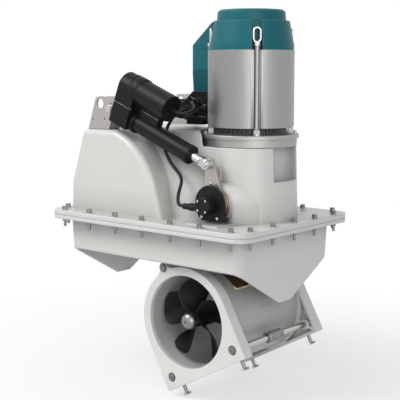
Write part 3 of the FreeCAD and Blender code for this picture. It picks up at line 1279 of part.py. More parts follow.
def make_actuator():
    back, long, half = size("act_box_back"), size("act_box_long"), size("act_box_half")
    low, offset = -size("act_box_low"), size("act_motor_offset")
    box = Part.makeBox(long, 2 * half, offset - low, Vector(back, -half, low))
    rims = [e for e in box.Edges if abs(e.CenterOfMass.z - low) < 0.01]
    box = fused([box.makeFillet(5, rims), x_cylinder(half, back, back + long, 0, offset)])
    tail = size("act_tail_radius")
    eye_half = size("bracket_space") / 2 - size("bracket_thick") / 2 - size("running_gap")
    tail_eye = fused([y_cylinder(tail, -eye_half, eye_half),
                      Part.makeBox(back + 2, 2 * eye_half, 2 * tail, Vector(0, -eye_half, -tail))])
    end, tube, motor = back + long, size("act_tube_radius"), size("act_motor_radius")
    web_half = size("act_web_half")
    web = Part.makeBox(size("act_web_long"), 2 * web_half, offset, Vector(end, -web_half, 0))
    room = [x_cylinder(size("act_collar_radius"), end, size("act_tube_start") + 5),
            x_cylinder(tube, end, end + size("act_web_long") + 1),
            x_cylinder(motor, end, end + size("act_web_long") + 1, 0, offset)]
    box = fused([box, tail_eye, web.cut(room)])
    box = box.cut(y_cylinder(size("act_pin_radius") + size("shaft_play"), -half, half))
    keep(made("act_gearbox", box, act_frame()), "actuator_gearbox")
    start, rod = size("act_tube_start"), size("act_rod_radius")
    bore = rod + size("act_rod_play")
    collar = fused([x_cylinder(size("act_collar_radius"), end, start + 5)])
    tube_end = start + size("act_tube_long")
    body = fused([collar, x_cylinder(tube, end, tube_end), x_cylinder(tube + 1.5, tube_end - 14, tube_end)])
    body = body.cut(x_cylinder(bore, end + 8, tube_end + 1))
    keep(made("act_tube", body, act_frame()), "actuator_tube")
    cap, deep = size("act_motor_cap_long"), size("act_cap_deep")
    stop = start + size("act_motor_long") - cap
    keep(made("act_motor", x_cylinder(motor, end, stop, 0, offset), act_frame()), "actuator_motor")
    cap_shape = x_cylinder(motor, stop, stop + cap, 0, offset)
    dish = motor - size("act_cap_rim")
    cap_shape = cap_shape.cut(x_cylinder(dish, stop + cap - deep, stop + cap + 1, 0, offset))
    gland = x_cylinder(size("lead_radius") + 3, stop + cap - deep - 1, stop + cap + 8, 0, offset)
    keep(made("act_cap", fused([cap_shape, gland]), act_frame()), "actuator_motor_cap")
    reach = size("act_reach")
    tip = reach - size("rod_end_radius") - 6
    keep(made("act_rod", x_cylinder(rod, tip - size("act_rod_long"), tip), act_frame()), "actuator_rod")
    shear = size("act_y") - size("lever_face") - size("lever_thick") - size("pin_gap")
    thick = size("rod_end_thick")
    eye = fused([y_cylinder(size("rod_end_radius"), shear - thick, shear, reach),
                 Part.makeBox(size("rod_end_radius") + 6, thick, size("rod_end_radius") * 1.6,
                              Vector(tip, shear - thick, -size("rod_end_radius") * 0.8)),
                 y_cylinder(size("lever_pin_radius") + 2, shear - thick - 5, shear, reach)])
    keep(made("rod_eye", eye, act_frame()), "rod_end")


# Brackets on the hump for the cylinder, and their twins behind

def bracket_outline():
    """Corners of a plate: its right edge stays parallel to the gearbox's back."""
    low, top, wide = size("hump_top"), size("bracket_top"), size("bracket_wide")
    lean = math.tan(math.radians(size("act_lean")))
    edge_x = -size("act_anchor_x") + size("bracket_edge") / math.cos(math.radians(size("act_lean")))
    right_low = edge_x + (low - size("act_anchor_z")) * lean
    right_top = edge_x + (top - size("act_anchor_z")) * lean
    return [(right_low - wide, low), (right_low, low), (right_top, top), (right_top - wide - 4, top)]


def make_bracket(node, side):
    """Two parallel plates joined by their foot, one pair on each side of the hump."""
    middle, space, thick = side * size("act_y"), size("bracket_space") / 2, size("bracket_thick")
    corners = bracket_outline()
    low, top = corners[0][1], corners[2][1]
    shapes = []
    for way in (-1, 1):
        y = middle + way * space - thick / 2
        wire = Part.makePolygon([Vector(x, y, z) for x, z in corners + corners[:1]])
        plate = Part.Face(wire).extrude(Vector(0, thick, 0))
        tips = [e for e in plate.Edges if abs(e.CenterOfMass.z - top) < 0.01
                and abs(e.tangentAt(e.FirstParameter).y) > 0.99]
        shapes.append(plate.makeFillet(size("bracket_round"), tips))
    foot_long = corners[1][0] - corners[0][0] - 6
    shapes.append(Part.makeBox(foot_long, 2 * space, thick, Vector(corners[0][0] + 3, middle - space, low)))
    anchor_x, anchor_z = -size("act_anchor_x"), size("act_anchor_z")
    hole_x, hole_z = anchor_x - size("bracket_hole_back"), anchor_z + size("bracket_hole_up")
    reach = size("act_y") + space + 2 * thick
    near = reach - 2 * space - 4 * thick
    start, long = min(side * near, side * reach), reach - near
    cuts = [y_cylinder(size("bracket_hole_radius"), start, start + long, hole_x, hole_z),
            y_cylinder(size("act_pin_radius"), start, start + long, anchor_x, anchor_z)]
    for x, z in [(corners[0][0] + 20, low + 26), (corners[0][0] + 65, low + 28)]:
        cuts.append(y_cylinder(size("bracket_small_radius"), start, start + long, x, z))
    keep(made(node + "_plates", fused(shapes).cut(cuts)), node)


def make_anchor_pin():
    half = size("bracket_space") / 2 + size("bracket_thick") / 2
    pin = fused([y_cylinder(size("act_pin_radius"), -half - 3, half + 3),
                 y_cylinder(size("act_pin_radius") + 4, -half - 5, -half),
                 y_cylinder(size("act_pin_radius") + 4, half, half + 5)])
    frame = FreeCAD.Placement(act_frame().Base, FreeCAD.Rotation())
    keep(made("anchor", pin, frame), "actuator_pin")


# Cables: straight runs joined by tangent arcs

def cord_tube(points, radius):
    """A round cable through a route, with each corner rounded as far as its runs allow."""
    spots = [Vector(*p) for p in points]
    edges, here = [], spots[0]
    for before, corner, after in zip(spots, spots[1:], spots[2:]):
        to_before, to_after = (before - corner), (after - corner)
        run = min(to_before.Length, to_after.Length)
        to_before.normalize()
        to_after.normalize()
        turn = math.pi - to_before.getAngle(to_after)
        bend = 0.45 * run / math.tan(turn / 2)
        start, end = corner + to_before * 0.45 * run, corner + to_after * 0.45 * run
        inward = to_before + to_after
        inward.normalize()
        middle = corner + inward * (bend / math.cos(turn / 2) - bend)
        edges.append(Part.makeLine(here, start))
        edges.append(Part.Arc(start, middle, end).toShape())
        here = end
        print("bend radius %.0f mm, cable %.0f mm across" % (bend, 2 * radius))
    edges.append(Part.makeLine(here, spots[-1]))
    spine = Part.Wire(edges)
    start = Part.Wire(Part.makeCircle(radius, spots[0], spots[1] - spots[0]))
    tube = spine.makePipeShell([start], True, True)
    whole = math.pi * radius ** 2 * spine.Length
    print("cable %.0f mm long, volume %.3f of its section times length" % (spine.Length, tube.Volume / whole))
    return tube


def gland_face():
    """Where the cables' glands end, in front of the boot."""
    return -size("box_half") - size("gland_long")


GLANDS = {"sensor": (181, 312), "lead": (137, 332), "power_out": (159, 310), "power_back": (115, 312)}


def gland_spot(name):
    """A gland's place as X and Z: its distance behind the motor's axis is in the table."""
    behind, z = GLANDS[name]
    return size("pivot_x") - behind, z


def gland_shapes():
    radius, long = size("gland_radius"), size("gland_long")
    shapes = []
    for name in GLANDS:
        x, z = gland_spot(name)
        shapes.append(y_cylinder(radius, -size("box_half") - long, -size("box_half") + 4, x, z))
        hexa = hexagon(2 * radius, 5, x, -size("box_half") - 5, z, Y_AXIS)
        shapes.append(hexa)
    return shapes


def make_cables():
    face = gland_face()
    plug_x = size("pivot_x") - size("sensor_radius") - 4 - size("plug_long")
    plug_y, plug_z = sensor_plug_y(), size("pivot_z") - 8
    x, z = gland_spot("sensor")
    route = [(plug_x, plug_y, plug_z), (101, plug_y, plug_z), (91, -187, 72), (87, -183, 89), (87, -177, 107),
             (89, -170, 126), (80, -163, 141), (60, -155, 152), (38, -148, 165), (17, -142, 182),
             (0, -136, 203), (-10, -130, 227), (-11, -122, 251), (-7, -112, 273), (-1, -99, 294),
             (x, -83, z), (x, face, z)]
    keep(made("sensor_cord", cord_tube(route, size("sensor_cable_radius"))), "sensor_cable")
    x, z = gland_spot("power_out")
    back_x, back_z = gland_spot("power_back")
    route = [(x, face, z), (x, -84, z), (24, -105, 304), (34, -122, 296), (58, -124, 294), (72, -108, 302),
             (back_x, -84, back_z), (back_x, face, back_z)]
    keep(made("power_cord", cord_tube(route, size("power_cable_radius"))), "power_cable")
    reach, offset = size("act_tube_start") + size("act_motor_long") + 8, size("act_motor_offset")
    start = act_frame().multVec(Vector(reach, 0, offset))
    ahead = act_frame().multVec(Vector(reach + 15, 0, offset))
    x, z = gland_spot("lead")
    route = [(start.x, start.y, start.z), (ahead.x, ahead.y, ahead.z), (85, -160, 304), (93, -145, 308),
             (92, -125, 314), (81, -107, 322), (62, -95, 329), (x, -83, z), (x, face, z)]
    keep(made("lead_cord", cord_tube(route, size("lead_radius"))), "actuator_lead")


holes = flange_holes()
make_hull_box(holes)
make_gasket(holes)
make_cover(holes)
make_flange_bolts()
make_motor_stack()
make_motor_core()
make_jacket()
make_motor_cap()
make_motor_fixings()
make_control_box()
make_bushes()
make_leg()
make_leg_shield()
make_gear_house()
make_gears()
make_drive_shafts()
make_tunnel_tube()
make_rings()
make_tie_rods()
make_hatch_studs()
make_vanes()
make_propeller()
make_links()
make_lever()
make_sensor()
make_actuator()
make_bracket("bracket_front", -1)
make_bracket("bracket_rear", 1)
make_anchor_pin()
make_cables()


def report_and_write():
    document.recompute()
    for thing in document.Objects:
        if "Invalid" in thing.State or "Error" in thing.State:
            raise RuntimeError("failed: %s %s" % (thing.Name, thing.State))
    os.makedirs("parts", exist_ok=True)
    for thing in KEPT:
        if thing.Shape.isNull() or not thing.Shape.isValid():
            raise RuntimeError("bad shape: " + thing.Label)
        thing.Shape.exportStep("parts/%s.step" % thing.Label)
    print("wrote %d sub-parts" % len(KEPT))


report_and_write()
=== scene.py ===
"""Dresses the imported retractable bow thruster: paint, metal, rubber, cables and small trim.

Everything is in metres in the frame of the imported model: X along the flange towards
the motor, Z up, the electric cylinder on the negative Y side.
"""
import json
import math

import bmesh
import bpy
from mathutils import Matrix, Vector


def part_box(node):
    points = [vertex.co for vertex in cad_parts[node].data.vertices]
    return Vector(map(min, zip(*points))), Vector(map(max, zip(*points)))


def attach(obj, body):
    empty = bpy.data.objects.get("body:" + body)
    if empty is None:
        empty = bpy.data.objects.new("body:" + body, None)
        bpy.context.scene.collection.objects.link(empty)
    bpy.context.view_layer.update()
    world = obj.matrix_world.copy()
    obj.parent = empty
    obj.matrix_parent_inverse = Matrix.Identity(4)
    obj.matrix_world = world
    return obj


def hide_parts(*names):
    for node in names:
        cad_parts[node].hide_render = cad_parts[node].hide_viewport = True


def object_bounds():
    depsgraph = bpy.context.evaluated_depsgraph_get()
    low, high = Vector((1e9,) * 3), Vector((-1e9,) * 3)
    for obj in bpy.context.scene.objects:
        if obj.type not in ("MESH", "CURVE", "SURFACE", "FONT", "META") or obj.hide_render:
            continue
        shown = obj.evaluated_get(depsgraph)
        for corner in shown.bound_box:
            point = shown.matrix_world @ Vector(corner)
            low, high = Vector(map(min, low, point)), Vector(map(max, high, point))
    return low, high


bl_info = {
    "name": "Retractable Bow Thruster",
    "version": (1, 0, 0),
    "blender": (4, 5, 0),
    "location": "View3D > Sidebar > Thruster",
    "description": "Dresses a packed retractable bow thruster, piece by piece",
    "category": "Object",
}

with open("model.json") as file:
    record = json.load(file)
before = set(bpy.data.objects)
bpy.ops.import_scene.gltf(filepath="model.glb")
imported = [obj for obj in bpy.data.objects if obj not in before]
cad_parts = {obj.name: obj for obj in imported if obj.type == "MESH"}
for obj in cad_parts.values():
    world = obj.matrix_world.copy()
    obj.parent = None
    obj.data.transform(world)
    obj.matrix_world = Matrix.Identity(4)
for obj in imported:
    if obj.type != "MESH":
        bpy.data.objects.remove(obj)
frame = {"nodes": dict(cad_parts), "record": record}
CAD_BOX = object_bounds()
MM = 0.001

# Places that several pieces share, in millimetres
MOTOR_AXIS_X = 185
TOWER_RADIUS, TOWER_FOOT_Z, TOWER_TAPER = 128.5, 24, 6.5 / 194
BOSS_RADIUS, BOSS_Z, BOSS_FACE_Y = 50, 75, 141


class ThrusterColours(bpy.types.PropertyGroup):
    """Colours of the finishes, as they are written in the materials."""
    casting: bpy.props.FloatVectorProperty(
        name="Casting", description="Satin white of the housing", subtype="COLOR",
        default=(0.71, 0.71, 0.69))
    tube: bpy.props.FloatVectorProperty(
        name="Tunnel tube", description="Grey enamel inside and outside the tube", subtype="COLOR",
        default=(0.47, 0.47, 0.46))
    teal: bpy.props.FloatVectorProperty(
        name="Teal", description="Enamel of the motor cap and terminal box", subtype="COLOR",
        default=(0.010, 0.135, 0.160))
    black: bpy.props.FloatVectorProperty(
        name="Black", description="Anodised parts of the electric cylinder", subtype="COLOR",
        default=(0.008, 0.008, 0.008))
    steel: bpy.props.FloatVectorProperty(
        name="Steel", description="Stainless sheet, bolts and plates", subtype="COLOR",
        default=(0.55, 0.53, 0.51))
    bronze: bpy.props.FloatVectorProperty(
        name="Bronze", description="Pivot bushes", subtype="COLOR", default=(0.86, 0.70, 0.61))


class ThrusterSizes(bpy.types.PropertyGroup):
    """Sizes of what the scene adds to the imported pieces."""
    casting_edge: bpy.props.FloatProperty(
        name="Casting edge", description="Rounding of the moulded edges", subtype="DISTANCE",
        default=3.5 * MM)
    machined_edge: bpy.props.FloatProperty(
        name="Machined edge", description="Rounding of the turned and milled edges",
        subtype="DISTANCE", default=0.7 * MM)
    small_edge: bpy.props.FloatProperty(
        name="Small edge", description="Rounding on bolts and thin plates", subtype="DISTANCE",
        default=0.35 * MM)
    bolt_rise: bpy.props.FloatProperty(
        name="Bolt rise", description="How much higher the flange bolts' heads stand than the solids",
        subtype="DISTANCE", default=3.5 * MM)
    bolt_drop: bpy.props.FloatProperty(
        name="Bolt drop", description="How much lower the flange bolts' ends reach than the solids",
        subtype="DISTANCE", default=6 * MM)
    box_rise: bpy.props.FloatProperty(
        name="Box rise", description="How much higher the terminal box's top stands than the solid",
        subtype="DISTANCE", default=12 * MM)
    window_line: bpy.props.FloatProperty(
        name="Window line", description="Half thickness of the cut edge round the tube's window",
        subtype="DISTANCE", default=2.4 * MM)


class ThrusterStage(bpy.types.PropertyGroup):
    """Camera and light."""
    azimuth: bpy.props.FloatProperty(
        name="Azimuth", description="Turn of the camera from the front", subtype="ANGLE",
        default=math.radians(40.10))
    pitch: bpy.props.FloatProperty(
        name="Pitch", description="How far the camera looks down", subtype="ANGLE",
        default=math.radians(7.82))
    lens: bpy.props.FloatProperty(
        name="Lens", description="Focal length for a 36 mm sensor, in millimetres", default=85.5)
    place: bpy.props.FloatVectorProperty(
        name="Place", description="Where the camera stands", subtype="TRANSLATION",
        default=(1.71507, -2.02684, 0.41804))
    floor_gap: bpy.props.FloatProperty(
        name="Floor gap", description="How far the floor lies below the lowest stud",
        subtype="DISTANCE", default=2 * MM)
    floor_radius: bpy.props.FloatProperty(
        name="Floor radius", description="Size of the round floor", subtype="DISTANCE", default=3.0)
    floor_glow: bpy.props.FloatProperty(
        name="Floor glow", description="Share of plain white in what the camera sees of the floor",
        subtype="FACTOR", default=0.6)
    fill: bpy.props.FloatProperty(
        name="Fill", description="Strength of the even light from all sides", default=0.30)


# Shader node groups, each built once and placed in the materials with their own values

WHITE = (1, 1, 1, 1)


def new_group(name, inputs, outputs):
    """An empty shader group with its sockets; inputs are (name, kind, default)."""
    group = bpy.data.node_groups.new(name, "ShaderNodeTree")
    kinds = {"value": "NodeSocketFloat", "colour": "NodeSocketColor", "vector": "NodeSocketVector"}
    for label, kind, default in inputs:
        socket = group.interface.new_socket(name=label, in_out="INPUT", socket_type=kinds[kind])
        socket.default_value = default
    for label, kind in outputs:
        group.interface.new_socket(name=label, in_out="OUTPUT", socket_type=kinds[kind])
    return group, group.nodes.new("NodeGroupInput"), group.nodes.new("NodeGroupOutput")


def put(tree, value, socket):
    """Link an output to a socket, or set the socket to a plain value."""
    if isinstance(value, bpy.types.NodeSocket):
        tree.links.new(value, socket)
    else:
        socket.default_value = value


def math_node(tree, operation, first, second, clamp=False):
    """One step of arithmetic with two numbers, and its result."""
    node = tree.nodes.new("ShaderNodeMath")
    node.operation = operation
    node.use_clamp = clamp
    put(tree, first, node.inputs[0])
    put(tree, second, node.inputs[1])
    return node.outputs[0]


def vector_node(tree, operation, first, second):
    """One step of arithmetic with two vectors, and its result."""
    node = tree.nodes.new("ShaderNodeVectorMath")
    node.operation = operation
    tree.links.new(first, node.inputs[0])
    tree.links.new(second, node.inputs[1])
    return node.outputs["Value" if operation == "DOT_PRODUCT" else "Vector"]


def scaled(tree, colour, share):
    """A colour made darker or lighter by a share."""
    node = tree.nodes.new("ShaderNodeVectorMath")
    node.operation = "SCALE"
    tree.links.new(colour, node.inputs[0])
    tree.links.new(share, node.inputs["Scale"])
    return node.outputs["Vector"]


def mix_colour(tree, factor, first, second):
    """A blend of two colours by a mask."""
    node = tree.nodes.new("ShaderNodeMix")
    node.data_type = "RGBA"
    for index, value in ((0, factor), (6, first), (7, second)):
        tree.links.new(value, node.inputs[index])
    return node.outputs[2]


def noise(tree, vector, scale, detail):
    """Soft random cloud, the same each run."""
    node = tree.nodes.new("ShaderNodeTexNoise")
    node.inputs["Detail"].default_value = detail
    tree.links.new(vector, node.inputs["Vector"])
    put(tree, scale, node.inputs["Scale"])
    return node.outputs["Fac"]


def object_place(tree):
    """Where a point lies on the object, so that no pattern slides with the camera."""
    return tree.nodes.new("ShaderNodeTexCoord").outputs["Object"]


def swung(tree, middle, swing, share):
    """A value that swings about its middle by a share of a random swing."""
    return math_node(tree, "ADD", middle, math_node(tree, "MULTIPLY", swing, share))


# How sharply the painted highlight along an edge comes in, and how much the roughness swings
EDGE_GAIN = 5.0
PAINT_SWING, GRAIN_SWING = 0.22, 0.3


def edge_group():
    """Lighter colour along edges: a painted highlight where the edges catch the light."""
    group, start, end = new_group(
        "edge_light", [("Colour", "colour", WHITE), ("Edge Colour", "colour", WHITE),
                       ("Width", "value", 0.003)],
        [("Colour", "colour"), ("Normal", "vector")])
    bevel = group.nodes.new("ShaderNodeBevel")
    bevel.samples = 6
    group.links.new(start.outputs["Width"], bevel.inputs["Radius"])
    surface = group.nodes.new("ShaderNodeNewGeometry")
    facing = vector_node(group, "DOT_PRODUCT", bevel.outputs["Normal"], surface.outputs["Normal"])
    turn = math_node(group, "SUBTRACT", 1.0, facing)
    mask = math_node(group, "MULTIPLY", turn, EDGE_GAIN, clamp=True)
    colour = mix_colour(group, mask, start.outputs["Colour"], start.outputs["Edge Colour"])
    group.links.new(colour, end.inputs["Colour"])
    group.links.new(bevel.outputs["Normal"], end.inputs["Normal"])
    return group


def hollow_group():
    """Darker colour in corners and hollows, from the ambient occlusion: painted shade."""
    group, start, end = new_group(
        "hollow_shade", [("Colour", "colour", WHITE), ("Reach", "value", 0.08),
                         ("Amount", "value", 0.4)],
        [("Colour", "colour")])
    shade = group.nodes.new("ShaderNodeAmbientOcclusion")
    shade.samples = 8
    group.links.new(start.outputs["Reach"], shade.inputs["Distance"])
    closed = math_node(group, "SUBTRACT", 1.0, shade.outputs["AO"])
    loss = math_node(group, "MULTIPLY", closed, start.outputs["Amount"], clamp=True)
    keep = math_node(group, "SUBTRACT", 1.0, loss)
    group.links.new(scaled(group, start.outputs["Colour"], keep), end.inputs["Colour"])
    return group


def paint_group():
    """The fine orange peel of sprayed paint, with a faint cloudiness of tone."""
    group, start, end = new_group(
        "paint_skin", [("Colour", "colour", WHITE), ("Peel Scale", "value", 300.0),
                       ("Cloud", "value", 0.04), ("Roughness", "value", 0.35)],
        [("Colour", "colour"), ("Roughness", "value"), ("Height", "value")])
    place = object_place(group)
    peel = noise(group, place, start.outputs["Peel Scale"], 2.0)
    cloud = math_node(group, "SUBTRACT", noise(group, place, 9.0, 4.0), 0.5)
    fade = swung(group, 1.0, cloud, start.outputs["Cloud"])
    group.links.new(scaled(group, start.outputs["Colour"], fade), end.inputs["Colour"])
    group.links.new(swung(group, start.outputs["Roughness"], cloud, PAINT_SWING), end.inputs["Roughness"])
    group.links.new(peel, end.inputs["Height"])
    return group


def grain_group():
    """Straight brush marks: noise drawn out along one axis."""
    group, start, end = new_group(
        "brushed_grain", [("Colour", "colour", WHITE), ("Stretch", "vector", (900.0, 900.0, 6.0)),
                          ("Depth", "value", 0.2), ("Roughness", "value", 0.3)],
        [("Colour", "colour"), ("Roughness", "value"), ("Height", "value")])
    drawn = vector_node(group, "MULTIPLY", object_place(group), start.outputs["Stretch"])
    streak = noise(group, drawn, 1.0, 4.0)
    swing = math_node(group, "SUBTRACT", streak, 0.5)
    fade = swung(group, 1.0, swing, start.outputs["Depth"])
    group.links.new(scaled(group, start.outputs["Colour"], fade), end.inputs["Colour"])
    group.links.new(swung(group, start.outputs["Roughness"], swing, GRAIN_SWING), end.inputs["Roughness"])
    group.links.new(streak, end.inputs["Height"])
    return group


def band_group():
    """A darker second tone below a sloping line: painted shade, standing for the shaded lower slant of the
    terminal box.
    """
    group, start, end = new_group(
        "slant_shade_band", [("Colour", "colour", WHITE), ("Low Colour", "colour", (0.5, 0.5, 0.5, 1)),
                         ("Normal Way", "vector", (0.0, 0.0, 1.0)), ("Line", "value", 0.0),
                         ("Soft", "value", 0.004)],
        [("Colour", "colour")])
    high = vector_node(group, "DOT_PRODUCT", object_place(group), start.outputs["Normal Way"])
    below = math_node(group, "SUBTRACT", start.outputs["Line"], high)
    share = math_node(group, "DIVIDE", below, start.outputs["Soft"])
    mask = math_node(group, "ADD", share, 0.5, clamp=True)
    colour = mix_colour(group, mask, start.outputs["Colour"], start.outputs["Low Colour"])
    group.links.new(colour, end.inputs["Colour"])
    return group


GROUPS = {"edge": edge_group(), "hollow": hollow_group(), "paint": paint_group(),
          "grain": grain_group(), "band": band_group()}


# Materials

def four(colour):
    """A colour with full alpha, as sockets want it."""
    return (*colour, 1.0)


def lighter(colour, share):
    """A colour moved towards white by a share."""
    return tuple(c + (1 - c) * share for c in colour)


PEEL_DEPTH, GRAIN_DEPTH, METAL_EDGE = 0.05 * MM, 0.004 * MM, 0.8 * MM
PEEL_STRENGTH, GRAIN_STRENGTH = 0.25, 0.3
# The terminal box's darker lower band is painted shade: its share of the teal and the height of its line
BOX_BAND_SHADE, BOX_BAND_Z, UPWARDS = 0.66, 0.418, (0.0, 0.0, 1.0)


class Finish:
    """A material under construction: its node tree and its Principled shader."""

    def __init__(self, name, **values):
        self.material = bpy.data.materials.new(name)
        self.material.use_nodes = True
        self.tree = self.material.node_tree
        self.shader = self.tree.nodes["Principled BSDF"]
        for socket, value in values.items():
            self.shader.inputs[socket.replace("_", " ").title()].default_value = value

    def group(self, name, **values):
        """Place a shared group, with its inputs linked or set."""
        node = self.tree.nodes.new("ShaderNodeGroup")
        node.node_tree = GROUPS[name]
        for socket, value in values.items():
            put(self.tree, value, node.inputs[socket.replace("_", " ").title()])
        return node.outputs

    def feed(self, socket, output):
        """Link an output to the shader."""
        self.tree.links.new(output, self.shader.inputs[socket])

    def bump(self, height, strength, distance, normal):
        """Fine relief on top of a normal."""
        node = self.tree.nodes.new("ShaderNodeBump")
        node.inputs["Strength"].default_value = strength
        node.inputs["Distance"].default_value = distance
        self.tree.links.new(height, node.inputs["Height"])
        self.tree.links.new(normal, node.inputs["Normal"])
        self.feed("Normal", node.outputs["Normal"])


def painted(name, colour, roughness, edge=0.5, width=2.5 * MM, peel=260.0, coat=0.0, cloud=0.05,
            gloss=0.5, hollow=0.0, band=None):
    """A paint, enamel, plastic or rubber. edge is how much lighter its edges are, a painted highlight;
    hollow is how much painted shade darkens its corners and hollows; and band gives the colour below a line,
    painted shade: (colour, the way that is up, the line's height in metres)."""
    finish = Finish(name, coat_weight=coat, coat_roughness=0.15)
    finish.shader.inputs["Specular IOR Level"].default_value = gloss
    skin = finish.group("paint", colour=four(colour), peel_scale=peel, roughness=roughness, cloud=cloud)
    # Lighter colour for the edges: a painted highlight
    edge_highlight = four(lighter(colour, edge))
    rim = finish.group("edge", colour=skin["Colour"], edge_colour=edge_highlight, width=width)
    shaded = rim["Colour"]
    # hollow: corners and hollows darkened by the occlusion, painted shade
    if hollow:
        shaded = finish.group("hollow", colour=shaded, amount=hollow)["Colour"]
    # band: the colour below a line, painted shade
    if band:
        low, way, line = band
        shaded = finish.group("band", colour=shaded, low_colour=four(low), normal_way=way,
                              line=line)["Colour"]
    finish.feed("Base Color", shaded)
    finish.feed("Roughness", skin["Roughness"])
    finish.bump(skin["Height"], PEEL_STRENGTH, PEEL_DEPTH, rim["Normal"])
    return finish.material


def metal(name, colour, roughness, stretch=(700.0, 700.0, 700.0), grain=0.1, edge=0.6, around=0.0):
    """A bare metal. edge is how much lighter its edges are, a painted highlight; around is how far turning
    or brushing draws its reflections out round Z.
    """
    finish = Finish(name, metallic=1.0, anisotropic=around)
    brush = finish.group("grain", colour=four(colour), stretch=stretch, depth=grain,
                         roughness=roughness)
    # Lighter colour for the edges: a painted highlight
    edge_highlight = four(lighter(colour, edge))
    rim = finish.group("edge", colour=brush["Colour"], edge_colour=edge_highlight, width=METAL_EDGE)
    finish.feed("Base Color", rim["Colour"])
    finish.feed("Roughness", brush["Roughness"])
    finish.bump(brush["Height"], GRAIN_STRENGTH, GRAIN_DEPTH, rim["Normal"])
    return finish.material


MATERIALS = {}


def make_materials(colours):
    """Fill the table of materials from the colours in the settings."""
    casting, teal = tuple(colours.casting), tuple(colours.teal)
    # The terminal box's lower band: the teal darkened as painted shade of its lower slant
    shaded_teal = tuple(BOX_BAND_SHADE * c for c in teal)
    MATERIALS.update(
        # Lighter edges (edge) are a painted highlight, and hollow is painted shade in corners and hollows
        casting=painted("casting_paint", casting, 0.34, edge=0.7, width=4.5 * MM, coat=0.1,
                        gloss=0.45, hollow=0.6),
        ring=painted("ring_paint", casting, 0.4, gloss=0.4, hollow=0.3),
        tube=painted("tube_paint", tuple(colours.tube), 0.42, cloud=0.12, gloss=0.4, hollow=0.2),
        gasket=painted("gasket_rubber", (0.50, 0.50, 0.49), 0.6, edge=0.0),
        teal=painted("teal_enamel", teal, 0.42, edge=0.16, cloud=0.08, gloss=0.2),
        box=painted("teal_terminal_box", teal, 0.42, edge=0.16, cloud=0.08, gloss=0.2,
                    band=(shaded_teal, UPWARDS, BOX_BAND_Z)),
        black=painted("black_anodised", tuple(colours.black), 0.42, edge=0.10, width=1.2 * MM,
                      cloud=0.3, gloss=0.15),
        plastic=painted("black_plastic", (0.008, 0.008, 0.009), 0.48, edge=0.08, peel=700.0,
                        cloud=0.3, gloss=0.2),
        blade=painted("blade_composite", (0.007, 0.007, 0.0075), 0.50, edge=0.04, cloud=0.4, gloss=0.12),
        cable=painted("cable_sheath", (0.012, 0.012, 0.012), 0.48, edge=0.0, peel=900.0, gloss=0.25),
        iron=painted("dark_iron", (0.02, 0.02, 0.02), 0.5, edge=0.2),
        leg=painted("leg_enamel", (0.07, 0.07, 0.07), 0.45, edge=0.3),
        shield=painted("shield_primer", (0.105, 0.078, 0.022), 0.4, edge=0.2, cloud=0.3),
        jacket=metal("brushed_jacket", (0.30, 0.297, 0.29), 0.40, stretch=(1400.0, 1400.0, 12.0),
                     grain=0.12, around=0.5),
        steel=metal("stainless_steel", tuple(colours.steel), 0.27),
        bolt=metal("zinc_bolt", (0.24, 0.235, 0.225), 0.36, edge=0.25),
        # Metal of the thin bright wires that stand in for edge highlights (painted highlight), and of their
        # screws and bead
        wire=metal("highlight_wire_and_screw", (0.20, 0.20, 0.20), 0.3, edge=0.1),
        plate=metal("bracket_plate", (0.42, 0.40, 0.38), 0.42, stretch=(40.0, 1200.0, 1200.0)),
        turned=metal("turned_flange", (0.36, 0.35, 0.34), 0.50, stretch=(12.0, 12.0, 2000.0)),
        rod=metal("polished_rod", (0.55, 0.545, 0.54), 0.16, grain=0.03),
        tie=metal("tie_rod", (0.50, 0.495, 0.48), 0.24, grain=0.05),
        sleeve=metal("rod_sleeve", (0.26, 0.26, 0.255), 0.42, grain=0.1),
        # A bronze cut edge; its pale cream colour is partly a painted highlight
        rim=metal("window_cut_edge", (0.90, 0.72, 0.42), 0.5, grain=0.1),
        bronze=metal("turned_bronze", tuple(colours.bronze), 0.40, stretch=(1500.0, 12.0, 1500.0)),
        nose=metal("satin_nose", (0.26, 0.255, 0.25), 0.34, stretch=(1500.0, 40.0, 1500.0), grain=0.05),
    )


# Geometry helpers

def into_scene(name, data):
    """A new object in the scene."""
    thing = bpy.data.objects.new(name, data)
    bpy.context.scene.collection.objects.link(thing)
    return thing


def piece(name, mesh, body, material):
    """A new object that rides on a body and takes its finish from the table of materials."""
    thing = into_scene(name, mesh)
    mesh.materials.clear()
    mesh.materials.append(MATERIALS[material])
    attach(thing, body)
    return thing


BODY_OF = {node: body for body, nodes in frame["record"]["behaviour"]["bodies"].items() for node in nodes}

# Edges over the first are rounded, faces under the second are joined, edges over the third stay crisp
SHARP_ANGLE, FLAT_ANGLE, SPLIT_ANGLE = math.radians(32), math.radians(0.04), math.radians(40)


def softened(node, material, edge, segments=2):
    """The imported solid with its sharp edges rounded: it stands for the node."""
    mesh = frame["nodes"][node].data.copy()
    work = bmesh.new()
    work.from_mesh(mesh)
    bmesh.ops.remove_doubles(work, verts=work.verts, dist=1e-6)
    bmesh.ops.dissolve_limit(work, angle_limit=FLAT_ANGLE, verts=work.verts, edges=work.edges)
    work.to_mesh(mesh)
    work.free()
    mesh.shade_smooth()
    thing = piece(node + "_finished", mesh, BODY_OF[node], material)
    bevel = thing.modifiers.new("rounded_edges", "BEVEL")
    bevel.width = edge
    bevel.segments = segments
    bevel.limit_method = "ANGLE"
    bevel.angle_limit = SHARP_ANGLE
    bevel.use_clamp_overlap = True
    normals = thing.modifiers.new("flat_faces_flat", "WEIGHTED_NORMAL")
    normals.keep_sharp = True
    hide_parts(node)
    return thing


def dress(material, *nodes):
    """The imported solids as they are, in a better finish."""
    for node in nodes:
        thing = frame["nodes"][node]
        for slot in thing.material_slots:
            slot.material = MATERIALS[material]


# Small trim, drawn in millimetres in a piece's own frame

